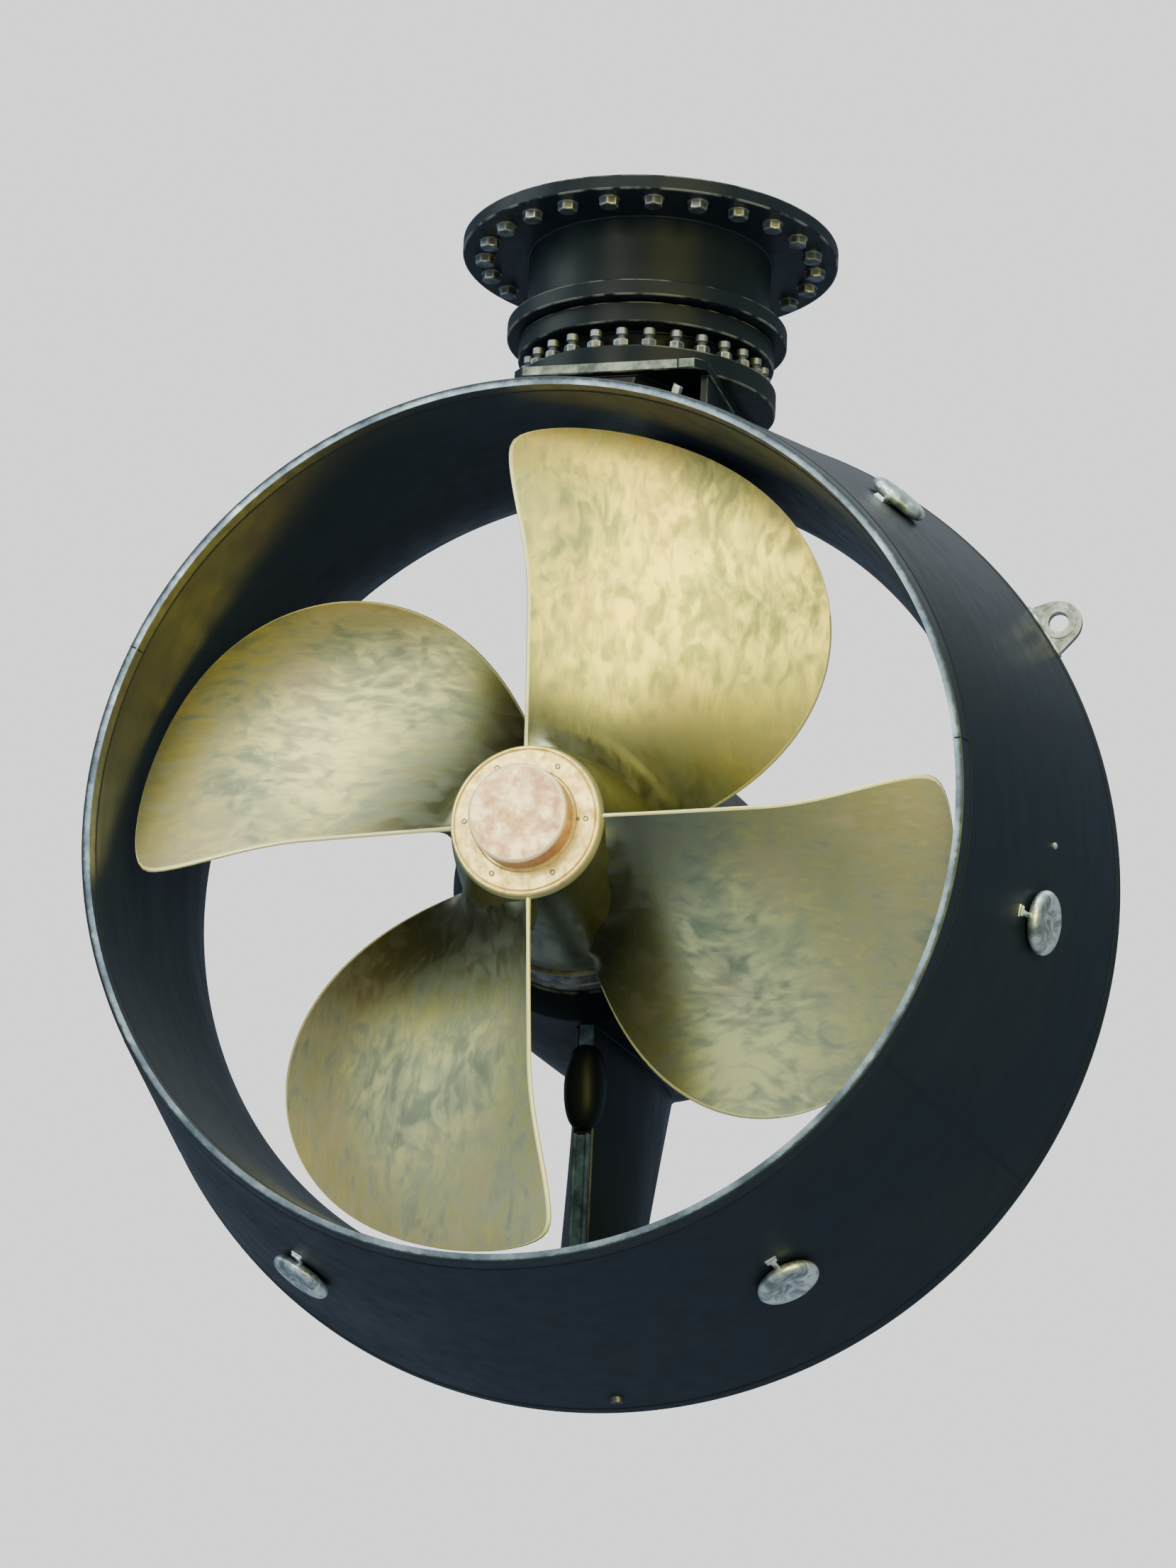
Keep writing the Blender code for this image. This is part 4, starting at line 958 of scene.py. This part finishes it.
def housing_radius(at):
    """Outer radius of the gear housing at a station."""
    if at >= HOUSING_TAPER:
        share = (HOUSING_FRONT - at) / (HOUSING_FRONT - HOUSING_TAPER)
        return COVER_RIM_RADIUS + (HOUSING_RADIUS - COVER_RIM_RADIUS) * math.sin(share * math.pi / 2)
    if at >= HOUSING_FULL:
        return HOUSING_RADIUS
    if at >= COLLAR_END:
        swell = math.cos((HOUSING_FULL - at) / (HOUSING_FULL - COLLAR_END) * math.pi / 2) ** 1.2
        return COLLAR_RADIUS + (HOUSING_RADIUS - COLLAR_RADIUS) * swell
    share = (at - HOUSING_AFT) / (COLLAR_END - HOUSING_AFT)
    return COLLAR_AFT_RADIUS + (COLLAR_RADIUS - COLLAR_AFT_RADIUS) * share


def foil_outline(back, front, widest, back_width, steps=48, corner=0.010):
    """Streamlined outline: half an ellipse in front, a taper to a narrow flat edge behind."""
    nose = [(widest * math.cos(turn), front * math.sin(turn)) for turn in spread(0.0, math.pi, steps)]
    narrow = back_width / 2
    side = [Vector((narrow + (widest - narrow) * math.cos(share * math.pi / 2), -back * share))
            for share in spread(0.0, 1.0, steps // 2)[1:]]
    right = side[:-1] + corner_arc(side[-2], side[-1], (0.0, -back), corner, 5)
    return nose + [(-x, y) for x, y in right] + [tuple(point) for point in reversed(right)]


LEG_OUTLINE = foil_outline(-LEG_BOX[0].y, LEG_BOX[1].y, LEG_HALF_WIDTH, LEG_BACK_WIDTH)


def make_housing():
    """Gear housing, its domed cover and the shaft seal."""
    along = spread(HOUSING_FRONT, HOUSING_TAPER, 16)[1:] + spread(HOUSING_FULL, COLLAR_END, 24)
    side = [(housing_radius(at), at) for at in along]
    aft_corner = rounded([side[-1], (COLLAR_AFT_RADIUS, HOUSING_AFT), (SEAL_BORE, HOUSING_AFT)], 0.010,
                         closed=False)
    front_corner = [(0.0, HOUSING_FRONT), (COVER_RIM_RADIUS - 0.004, HOUSING_FRONT),
                    (COVER_RIM_RADIUS, HOUSING_FRONT - 0.003)]
    turned_piece("gear_housing_skin", front_corner + side[:-1] + aft_corner, "hull_paint", "gear_housing")
    back, front = stations("housing_front_cover")
    rim, dome = back + COVER_FLANGE, front - back - COVER_FLANGE
    cover = [(COVER_RADIUS * math.sin(turn), rim + dome * math.cos(turn))
             for turn in spread(0.0, math.pi / 2, 24)]
    cover += rounded([cover[-1], (COVER_RIM_RADIUS, rim), (COVER_RIM_RADIUS, back), (0.0, back)], 0.005,
                     closed=False)[1:]
    turned_piece("front_cover_skin", cover, "hull_paint", "housing_front_cover")
    aft, fore = stations("seal_housing")
    radius = half_width("seal_housing")
    groove = aft + (fore - aft) * GROOVE_SHARE
    middle = SEAL_AFT_RADIUS + (radius - SEAL_AFT_RADIUS) * GROOVE_SHARE
    seal = [(SEAL_BORE, fore), (radius, fore), (middle + 0.002, groove + 0.004),
            (middle - 0.006, groove + 0.002), (middle - 0.006, groove - 0.002),
            (middle - 0.002, groove - 0.004), (SEAL_AFT_RADIUS, aft), (SEAL_BORE, aft)]
    turned_piece("seal_skin", rounded(seal, 0.002, steps=2), "steel", "seal_housing", closed=True,
                 finish=SEAL_STEEL)


def make_leg():
    """Leg, the widening at its head, the top plate with the strip on its aft edge, and the brackets."""
    levels = spread(height(HOUSING_RADIUS - LEG_SINK), LEG_BOX[1].z, 6)
    add_piece("leg_skin", loft([[(x, y, at) for x, y in LEG_OUTLINE] for at in levels]), "hull_paint", "leg")
    rings = []
    for share in spread(0.0, 1.0, 8):
        wide = 1 + FLARE_SPREAD / LEG_HALF_WIDTH * (1 - math.sqrt(1 - share * share))
        at = FLARE_BOX[0].z + (FLARE_BOX[1].z - FLARE_BOX[0].z) * share
        rings.append([(x * wide, y, at) for x, y in LEG_OUTLINE])
    add_piece("leg_flare_skin", loft(rings), "hull_paint", "leg_top_flare")
    (left, aft, bottom), (right, fore, top) = PLATE_BOX
    cut = PLATE_CHAMFER
    outline = [(left, aft + cut), (left + cut, aft), (right - cut, aft), (right, aft + cut),
               (right, fore - cut), (right - cut, fore), (left + cut, fore), (left, fore - cut)]
    add_piece("top_plate_skin", prism(outline, bottom, top, 0.004), "hull_paint", "leg_top_plate")
    shape = bmesh.new()
    for start, end, proud in ((left + 0.036, right - 0.092, 0.003), (right - 0.086, right - 0.036, 0.006)):
        box_into(shape, (start, aft - proud, bottom + 0.004), (end, aft + 0.004, top - 0.003), 0.0015)
    add_piece("top_plate_edge_strip", shape, "lip_steel", finish=BARE_PRIMER)
    for node in ("nozzle_bracket_left", "nozzle_bracket_right"):
        add_piece(node + "_skin", rounded_box(*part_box(node), 0.004), "hull_paint", node)


def strut_ring(level):
    """One level of the strut, whose back edge stays upright."""
    share = (level - STRUT_FOOT) / (STRUT_TOP - STRUT_FOOT)
    half = (STRUT_FOOT_LENGTH + (STRUT_TOP_LENGTH - STRUT_FOOT_LENGTH) * share) / 2
    outline = foil_outline(half, half, STRUT_HALF_WIDTH, STRUT_BACK_WIDTH, steps=40, corner=0.006)
    return [(x, y - STRUT_BACK + half, level) for x, y in outline]


def make_strut():
    """Lower strut with its boss and its bar: two flanks with a shallow channel between."""
    levels = spread(STRUT_FOOT, STRUT_TOP, 12)
    add_piece("strut_skin", loft([strut_ring(level) for level in levels]), "hull_paint", "strut")
    low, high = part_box("strut_boss")
    half = (high.z - low.z) / 2
    boss = [(high.x * math.sin(turn) ** BOSS_FULLNESS, half * math.cos(turn))
            for turn in spread(0.0, math.pi, 32)[1:-1]]
    boss = [(0.0, half)] + boss + [(0.0, -half)]
    add_piece("boss_skin", lathe(boss, 64, UPRIGHT), "hull_paint", "strut_boss",
              origin=(0, -STRUT_BACK, (low.z + high.z) / 2))
    low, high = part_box("strut_bar_anode")
    width = high.x - low.x
    shape = bmesh.new()
    for start, end in ((0.0, 0.22), (0.78, 1.0)):
        box_into(shape, (low.x + width * start, low.y, low.z), (low.x + width * end, high.y, high.z), 0.003)
    add_piece("strut_anode_skin", shape, "zinc", "strut_bar_anode", finish=DULL_ZINC)
    core = rounded_box((low.x + width * 0.20, low.y + 0.007, low.z + 0.004),
                       (high.x - width * 0.20, high.y, high.z - 0.004), 0.002)
    add_piece("strut_anode_core", core, "zinc", finish=DULL_ZINC)


# Steering flanges and trunk

TRUNK_BORE = 0.270
WASHER_RIM = 0.001
STUD_COUNT = 28
STUD_CIRCLE = 0.390
STUD_START = 0.05
STUD_WASHER = (0.027, 0.003)
NUT_ACROSS = 0.046
NUT_HEIGHT = 0.026
STUD_RADIUS = 0.0145
STUD_RISE = 0.068
THREAD_PITCH = 0.004
BOLT_COUNT = 24
BOLT_CIRCLE = 0.545
BOLT_WASHER = (0.034, 0.005)
BOLT_ACROSS = 0.055
BOLT_HEIGHT = 0.024


def disc_section(node, bevel=0.006):
    """Rounded section of a round plate node."""
    low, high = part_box(node)
    return rounded([(0.0, high.z), (high.x, high.z), (high.x, low.z), (0.0, low.z)], bevel, closed=False)


def ring_section(node, bevel):
    """Rounded section of a ring node round the trunk's bore."""
    low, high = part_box(node)
    return rounded([(high.x, high.z), (high.x, low.z), (TRUNK_BORE, low.z), (TRUNK_BORE, high.z)], bevel)


def stud_section(low, high):
    """Section of a stud's threaded neck and its round cap."""
    points, level = [(0.0, low)], low
    while level < low + 0.014:
        points += [(STUD_RADIUS, level), (STUD_RADIUS - 0.0018, level + THREAD_PITCH / 2)]
        level += THREAD_PITCH
    cap = STUD_RADIUS + 0.005
    return points + [(cap, level), (cap, high - 0.003), (cap - 0.003, high), (0.0, high)]


def fastener_ring(count, radius, level, washer, across, rise, start=0.0, down=False):
    """Washers and hexagons spaced evenly about the steering axis; gives the solid and their frames."""
    shape = bmesh.new()
    wide, thick = washer
    washer = [(0.0, thick), (wide - WASHER_RIM, thick), (wide, thick - WASHER_RIM), (wide, 0.0), (0.0, 0.0)]
    matrices = []
    for index in range(count):
        turn = 2 * math.pi * index / count + start
        matrix = Matrix.Translation((radius * math.cos(turn), radius * math.sin(turn), level))
        matrix @= Matrix.Rotation(turn, 4, "Z")
        if down:
            matrix @= Matrix.Rotation(math.pi, 4, "X")
        lathe_into(shape, washer, 24 if down else 20, matrix)
        hexagon_into(shape, matrix, across, thick, thick + rise)
        matrices.append(matrix)
    return shape, matrices


def make_stem():
    """Turning flanges, neck and fixed trunk with their fasteners."""
    upright_piece("leg_flange_skin", disc_section("leg_flange"), "leg_flange")
    upright_piece("neck_skin", disc_section("stem_neck", 0.004), "stem_neck")
    upright_piece("steering_flange_skin", disc_section("steering_flange"), "steering_flange")
    upright_piece("seal_ring_skin", ring_section("trunk_seal_ring", 0.006), "trunk_seal_ring", closed=True,
                  body="root")
    upright_piece("trunk_skin", ring_section("trunk_tube", 0.003), "trunk_tube", closed=True, body="root")
    upright_piece("mounting_flange_skin", disc_section("mounting_flange"), "mounting_flange", body="root",
                  finish=MOUNT_PAINT)
    shape, matrices = fastener_ring(STUD_COUNT, STUD_CIRCLE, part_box("leg_flange")[1].z, STUD_WASHER,
                                    NUT_ACROSS, NUT_HEIGHT, STUD_START)
    for matrix in matrices:
        lathe_into(shape, stud_section(STUD_WASHER[1] + NUT_HEIGHT, STUD_RISE), 14, matrix)
    add_piece("flange_studs", shape, "steel")
    shape, matrices = fastener_ring(BOLT_COUNT, BOLT_CIRCLE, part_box("mounting_flange")[0].z, BOLT_WASHER,
                                    BOLT_ACROSS, BOLT_HEIGHT, down=True)
    add_piece("mounting_bolts", shape, "steel", body="root")


# Anodes, eyes and plug

ANODE_ANGLES = (47.5, -9.0, -60.2, -120.3, -171.0, 132.5)
ANODE_STATION = 0.58
ANODE_RADIUS = 0.095
ANODE_THICKNESS = 0.046
STRAP_END = 0.27 / 2
STRAP_WIDTH = 0.016
STRAP_THICKNESS = 0.008
EYE_ANGLES = {"right": 32.0, "left": 148.0}
EYE_THICKNESS = 0.025
EYE_HOLE_RADIUS = 0.031
EYE_HOLE_HEIGHT = 0.051
EYE_HEAD_RADIUS = 0.072
EYE_HALF_BASE = 0.088
EYE_SINK = 0.020
EYE_CHEEK_RADIUS = 0.053
EYE_CHEEK_THICKNESS = 0.005
EYE_STEPS = 72
PLUG_STATION = 1.07
PLUG_ANGLE = -86.0
PLUG_RADIUS = 0.020
PLUG_HEIGHT = 0.012
PLUG_STEPS = 48
SOCKET_ACROSS = 0.017

# Slot in the leg's anode and its rim: half width, half height and corner radius
ANODE_SLOT = (0.024, 0.125, 0.012)
ANODE_SLOT_RIM = (0.034, 0.135, 0.018)
SLOT_MIDDLE = (0.004, -0.088)
STOP_BLOCK = ((-0.022, -STRUT_BACK - 0.020, height(-0.508)), (0.022, -STRUT_BACK + 0.010, height(-0.438)))


def cone_frame(degrees, at):
    """Frame on the outer cone: X forwards along the cone, Z straight out of it."""
    angle = math.radians(degrees)
    slope = math.atan2(WIDEST_RADIUS - LIP_OUTER_RADIUS, WIDEST_STATION)
    out = Vector((math.cos(angle) * math.cos(slope), -math.sin(slope), math.sin(angle) * math.cos(slope)))
    along = Vector((math.cos(angle) * math.sin(slope), math.cos(slope), math.sin(angle) * math.sin(slope)))
    matrix = Matrix((along, out.cross(along), out)).transposed().to_4x4()
    matrix.translation = wall_point(angle, outer_radius(at), at)
    return matrix


def radial_frame(degrees, radius, at):
    """Frame at an angle about the nozzle's axis: Z straight out, Y forwards."""
    turn = math.radians(90.0 - degrees)
    place = (radius * math.sin(turn), OUTLET.y + at, height(radius * math.cos(turn)))
    return Matrix.Translation(place) @ Matrix.Rotation(turn, 4, "Y")


def wall_point(angle, radius, at):
    """A point at an angle and a radius about the nozzle's axis."""
    return (radius * math.cos(angle), OUTLET.y + at, height(radius * math.sin(angle)))


def make_anodes():
    """Six lens-shaped anodes on straps, with a welded tab at the lip end of each."""
    lens = [(0.0, ANODE_THICKNESS)]
    for turn in spread(math.radians(86), math.radians(-58), 20):
        lens.append((ANODE_RADIUS * 0.70 + ANODE_RADIUS * 0.30 * math.cos(turn),
                     ANODE_THICKNESS * 0.52 + ANODE_THICKNESS * 0.47 * math.sin(turn)))
    lens += [(ANODE_RADIUS * 0.74, 0.004), (0.0, 0.004)]
    for number, degrees in enumerate(ANODE_ANGLES, start=1):
        shape = bmesh.new()
        box_into(shape, (-STRAP_END, -STRAP_WIDTH / 2, -0.001),
                 (STRAP_END, STRAP_WIDTH / 2, STRAP_THICKNESS), 0.002)
        box_into(shape, (-STRAP_END - 0.002, -STRAP_WIDTH, -0.001),
                 (-STRAP_END + 0.010, STRAP_WIDTH, STRAP_THICKNESS + 0.003), 0.003)
        lathe_into(shape, lens, 64)
        node = "nozzle_anode_%d" % number
        piece = add_piece("anode_%d_skin" % number, shape, "zinc", node)
        piece.matrix_world = cone_frame(degrees, ANODE_STATION)
    bpy.context.view_layer.update()


def eye_outline():
    """Outline of a lifting eye about its hole: straight flanks from a wide base to a round head."""
    reach = math.hypot(EYE_HOLE_HEIGHT, EYE_HALF_BASE)
    corner = math.atan2(EYE_HOLE_HEIGHT, EYE_HALF_BASE)
    tangent = math.acos(EYE_HEAD_RADIUS / reach) - corner
    foot = math.atan2(EYE_HOLE_HEIGHT + EYE_SINK, EYE_HALF_BASE)
    points = []
    for cos, sin in circle(1.0, EYE_STEPS, 0.5):
        angle = math.atan2(sin, abs(cos))
        if angle >= tangent:
            radius = EYE_HEAD_RADIUS
        elif angle >= -corner:
            radius = EYE_HEAD_RADIUS / math.cos(tangent - angle)
        elif angle >= -foot:
            radius = EYE_HALF_BASE / math.cos(angle)
        else:
            radius = (EYE_HOLE_HEIGHT + EYE_SINK) / -math.sin(angle)
        points.append((radius * cos, radius * sin))
    return points


def make_lifting_eyes():
    """The two lifting eyes with welded cheek rings about their holes."""
    half, bore, outside = EYE_THICKNESS / 2, EYE_HOLE_RADIUS + 0.001, EYE_CHEEK_THICKNESS + EYE_THICKNESS / 2
    hole = circle(EYE_HOLE_RADIUS, EYE_STEPS, 0.5)
    for side, degrees in EYE_ANGLES.items():
        matrix = radial_frame(degrees, WIDEST_RADIUS + EYE_HOLE_HEIGHT, WIDEST_STATION) @ FACING_AFT
        shape = bmesh.new()
        holed_plate_into(shape, eye_outline(), hole, -half, half, 0.0025, matrix)
        for low, high in ((half - 0.001, outside), (-outside, 0.001 - half)):
            ring = [(bore, low), (EYE_CHEEK_RADIUS, low), (EYE_CHEEK_RADIUS, high), (bore, high)]
            lathe_into(shape, rounded(ring, 0.002, steps=3), 48, matrix, closed=True)
        node = "nozzle_lifting_eye_" + side
        add_piece(node + "_skin", shape, "lip_steel", node, finish=EYE_STEEL)


def make_drain_plug():
    """Drain plug with a hexagonal socket."""
    matrix = radial_frame(PLUG_ANGLE, outer_radius(PLUG_STATION), PLUG_STATION)
    shape = bmesh.new()
    holed_plate_into(shape, circle(PLUG_RADIUS, PLUG_STEPS), hexagon(SOCKET_ACROSS, PLUG_STEPS), -0.008,
                     PLUG_HEIGHT, 0.0015, matrix)
    core = PLUG_RADIUS * 0.6
    lathe_into(shape, [(0.0, 0.002), (core, 0.002), (core, -0.006), (0.0, -0.006)], 24, matrix)
    add_piece("drain_plug_skin", shape, "steel", "nozzle_drain_plug")


def make_leg_anode():
    """Zinc bar on the leg's aft edge, with its slot, the recess behind it and three bolts."""
    low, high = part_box("leg_bar_anode")
    wide, tall, thickness = (high.x - low.x) / 2, (high.z - low.z) / 2, high.y - low.y
    matrix = Matrix.Translation((0.0, high.y, (low.z + high.z) / 2)) @ FACING_AFT
    shape = bmesh.new()
    slot = round_outline(*ANODE_SLOT, middle=SLOT_MIDDLE)
    rim = round_outline(*ANODE_SLOT_RIM, middle=SLOT_MIDDLE)
    holed_plate_into(shape, round_outline(wide, tall, 0.010), slot, 0.0, thickness - 0.005, 0.004, matrix)
    holed_plate_into(shape, rim, slot, thickness - 0.007, thickness, 0.002, matrix)
    box_into(shape, (-wide + 0.012, high.y - 0.006, low.z + 0.015),
             (wide - 0.012, high.y - 0.001, high.z - 0.015), 0.001)
    add_piece("leg_anode_skin", shape, "zinc", "leg_bar_anode")
    shape = bmesh.new()
    for up in (-tall + 0.022, 0.072, tall - 0.030):
        hexagon_into(shape, matrix @ Matrix.Translation((0.004, up, thickness - 0.005)), 0.024, 0.0, 0.009)
    add_piece("leg_anode_bolts", shape, "steel")


def make_small_blocks():
    """Fairing block on the housing and the stop block above the strut's boss."""
    add_piece("fairing_block_skin", rounded_box(*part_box("housing_fairing_block"), 0.007), "hull_paint",
              "housing_fairing_block")
    add_piece("strut_stop_block", rounded_box(*STOP_BLOCK, 0.004), "zinc", finish=DULL_ZINC)


# Weld beads and small fittings

WELD = 0.0055
SEAM = 0.0035
LIP_SEAM = 0.0026
SHELL_SEAM_ANGLES = (78.0, -34.0, -150.0)
LIP_SEAM_ANGLES = (7.5, 156.5)
VENT_ANGLE = 0.8
VENT_STATION = 0.657
VENT_DOME = [(0.0, 0.009), (0.005, 0.0085), (0.009, 0.006), (0.010, 0.003), (0.010, -0.002), (0.0, -0.002)]
LUG_ANGLE = 71.0
LUG_STATION = 0.035


def on_wall(outline, radius_at, sign=1):
    """Points above (or below) the nozzle's axis where an upright outline meets a turned wall."""
    return [(x, y, height(sign * math.sqrt(radius_at(y - OUTLET.y) ** 2 - x * x))) for x, y in outline]


def strut_on_wall(radius_at):
    """The line in which the strut meets a turned wall below the axis, each point found in four steps."""
    start = height(-radius_at(STEERING_STATION))
    points = []
    for index in range(len(strut_ring(STRUT_FOOT))):
        level = start
        for _ in range(4):
            spot = strut_ring(level)[index][:2]
            level = on_wall([spot], radius_at, -1)[0][2]
        points.append((*spot, level))
    return points


def level_beads(node, width, *levels):
    """Paths of beads round an upright tube at given levels."""
    ring = circle(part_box(node)[1].x, 96)
    return [([(x, y, level) for x, y in ring], width, True) for level in levels]


def make_welds():
    """Painted weld beads of the steered part as one piece and of the trunk as another."""
    back = [(x, y) for x, y in LEG_OUTLINE if y < -0.014]
    flare = FLARE_BOX[1].x / LEG_HALF_WIDTH
    paths = [(on_wall(LEG_OUTLINE, housing_radius), WELD * 1.4, True),
             (strut_on_wall(housing_radius), WELD * 1.2, True), (strut_on_wall(inner_radius), WELD, True),
             (on_wall(back, inner_radius), WELD, False), (on_wall(back, outer_radius), WELD, False),
             ([(x * flare, y, FLARE_BOX[1].z - 0.002) for x, y in LEG_OUTLINE], WELD, True),
             ([(x, y, FLARE_BOX[0].z) for x, y in LEG_OUTLINE], SEAM, True)]
    for node in ("nozzle_bracket_left", "nozzle_bracket_right"):
        low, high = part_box(node)
        loop = rectangle(low, high)
        paths += [(on_wall(loop, outer_radius), WELD, True),
                  ([(x, y, high.z - 0.002) for x, y in loop], WELD, True)]
    for at in (LIP_LENGTH, NOSE_BACK):
        for radius_at in (outer_radius, inner_radius):
            ring = circle(radius_at(at), NOZZLE_STEPS)
            paths.append(([(x, OUTLET.y + at, height(z)) for x, z in ring], SEAM * 0.7, True))
    for degrees in SHELL_SEAM_ANGLES:
        paths.append(([wall_point(math.radians(degrees), outer_radius(at), at)
                       for at in spread(LIP_LENGTH, NOSE_BACK, 24)], SEAM, False))
    paths += level_beads("stem_neck", WELD * 1.3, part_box("leg_flange")[1].z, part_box("steering_flange")[0].z)
    add_beads("weld_beads", paths, "hull_paint")
    paths = level_beads("trunk_tube", WELD * 1.4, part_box("mounting_flange")[0].z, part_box("trunk_tube")[0].z)
    add_beads("trunk_welds", paths, "hull_paint", "root")


def make_bright_welds():
    """Unpainted welds at the lifting eyes and at the anode straps' ends."""
    paths = []
    foot = rectangle((-EYE_HALF_BASE, -EYE_THICKNESS / 2), (EYE_HALF_BASE, EYE_THICKNESS / 2))
    for degrees in EYE_ANGLES.values():
        matrix = radial_frame(degrees, 0.0, WIDEST_STATION)
        paths.append(([matrix @ Vector((x, y, math.sqrt(WIDEST_RADIUS ** 2 - x * x))) for x, y in foot],
                      WELD * 1.3, True))
    for degrees in ANODE_ANGLES:
        matrix = cone_frame(degrees, ANODE_STATION)
        for end, reach in ((-STRAP_END, 0.018), (STRAP_END, 0.009)):
            bead = [matrix @ Vector((end, across, 0.0)) for across in spread(-reach, reach, 6)]
            paths.append((bead, WELD, False))
    add_beads("bright_welds", paths, "zinc")


def make_small_fittings():
    """A vent plug low on the cone's right side and a small lug behind the lip."""
    shape = bmesh.new()
    lathe_into(shape, VENT_DOME, 24, cone_frame(VENT_ANGLE, VENT_STATION))
    box_into(shape, (-0.016, -0.010, -0.004), (0.016, 0.010, 0.024), 0.004,
             cone_frame(LUG_ANGLE, LUG_STATION))
    add_piece("shell_fittings", shape, "steel", finish=EYE_STEEL)


def make_lip_seams():
    """Ground weld seams across the lip, where its ring is joined."""
    profile = [(outer_radius(at), at) for at in (0.045, 0.010)]
    profile += [(LIP_OUTER_RADIUS - 0.006, 0.0004), (inner_radius(0.0) + 0.006, 0.0004)]
    profile += [(inner_radius(at), at) for at in (0.010, 0.045)]
    paths = [([wall_point(math.radians(degrees), radius, at) for radius, at in profile], LIP_SEAM, False)
             for degrees in LIP_SEAM_ANGLES]
    add_beads("lip_seams", paths, "hull_paint")


# Studio

FLOOR_DROP = 12.0
FLOOR_RADIUS = 90.0
BACKDROP = (1.45, 1.46, 1.47)
AROUND = (0.14, 0.18, 0.23)
OVERHEAD = (1.55, 1.62, 1.66)

# Lights: name, place, width and height, power in watts, colour
LIGHTS = (("key", (9.0, -13.0, -0.5), (12.0, 10.0), 2120.0, (1.0, 0.85, 0.18)),
          ("sky", (1.0, -6.5, 8.0), (10.0, 7.0), 660.0, (0.95, 1.0, 0.80)),
          ("fill", (-11.0, -4.0, 4.0), (8.0, 8.0), 470.0, (0.88, 1.0, 0.92)),
          ("front", (-4.0, -14.0, 1.5), (5.0, 5.0), 720.0, (1.0, 0.92, 0.66)),
          ("low", (-8.5, -9.5, -8.0), (8.0, 8.0), 160.0, (0.78, 0.96, 1.0)))

# The photograph's view: where its camera stood and how it leaned, seen from the unit
CAMERA_PLACE = Vector((3.187, -12.062, -5.184))
CAMERA_ROLL = 0.046
CAMERA_LENS = 93.0
CAMERA_SENSOR = 36.0
AIM_POINT = Vector((0.02, -0.55, -1.98))


def make_floor():
    """A wide pale floor well below the hanging unit, kept out of the paint's reflections."""
    shape = bmesh.new()
    bmesh.ops.create_circle(shape, cap_ends=True, segments=96, radius=FLOOR_RADIUS,
                            matrix=Matrix.Translation((0, 0, CAD_BOX[0].z - FLOOR_DROP)))
    mesh = bpy.data.meshes.new("floor")
    shape.to_mesh(mesh)
    shape.free()
    floor = bpy.data.objects.new("floor", mesh)
    bpy.context.scene.collection.objects.link(floor)
    finish = Finish("floor", (0.72, 0.72, 0.72), 0.8, Specular_IOR_Level=0.1, Emission_Strength=0.50,
                    Emission_Color=(0.95, 0.97, 1.0))
    finish.feed(Roughness=finish.span(finish.noise(finish.where, 0.6, 3.0), 0.3, 0.7, 0.7, 0.85))
    mesh.materials.append(finish.material)
    floor.visible_glossy = False


def make_lights():
    """Soft rectangular lights: a strong warm one on the camera's right, and weaker ones about the unit."""
    middle = (CAD_BOX[0] + CAD_BOX[1]) / 2
    for name, place, size, power, colour in LIGHTS:
        light = bpy.data.lights.new(name, "AREA")
        light.shape = "RECTANGLE"
        light.size, light.size_y = size
        light.energy = power
        light.color = colour
        lamp = bpy.data.objects.new(name, light)
        bpy.context.scene.collection.objects.link(lamp)
        lamp.location = place
        lamp.visible_camera = False
        lamp.rotation_euler = (middle - lamp.location).to_track_quat("-Z", "Y").to_euler()


def make_world():
    """A dim surrounding that is bright overhead, and a pale backdrop where the camera sees it."""
    world = bpy.data.worlds.new("studio")
    world.use_nodes = True
    sky = Nodes(world.node_tree)
    direction = sky.node("ShaderNodeTexCoord").outputs["Generated"]
    upwards = sky.node("ShaderNodeSeparateXYZ", direction).outputs["Z"]
    dome = sky.blend(sky.span(upwards, 0.45, 0.85, 0.0, 1.0), AROUND, OVERHEAD)
    seen = sky.node("ShaderNodeLightPath").outputs["Is Camera Ray"]
    sky.connect(sky.tree.nodes["Background"].inputs["Color"], sky.blend(seen, dome, BACKDROP))
    bpy.context.scene.world = world


def make_camera():
    """Camera at the photograph's place and lean, aimed at the middle of the unit."""
    data = bpy.data.cameras.new("camera")
    data.sensor_width = CAMERA_SENSOR
    data.lens = CAMERA_LENS
    camera = bpy.data.objects.new("camera", data)
    bpy.context.scene.collection.objects.link(camera)
    forward = (AIM_POINT - CAMERA_PLACE).normalized()
    across = forward.cross(Vector((0, 0, 1))).normalized()
    upward = across.cross(forward)
    right = math.cos(CAMERA_ROLL) * across + math.sin(CAMERA_ROLL) * upward
    up = -math.sin(CAMERA_ROLL) * across + math.cos(CAMERA_ROLL) * upward
    pose = Matrix((right, up, -forward)).transposed().to_4x4()
    pose.translation = CAMERA_PLACE
    camera.matrix_world = pose
    bpy.context.scene.camera = camera


for subpart in frame["record"]["subparts"]:
    node = frame["nodes"][subpart["node"]]
    node.data.materials.clear()
    node.data.materials.append(FINISHES[subpart["material_slot"]])
for make in (make_camera, make_floor, make_lights, make_world, make_nozzle, make_hub, make_blades,
             make_housing, make_leg, make_strut, make_stem, make_anodes, make_leg_anode, make_small_blocks,
             make_lifting_eyes, make_drain_plug, make_welds, make_bright_welds, make_small_fittings,
             make_lip_seams):
    make()
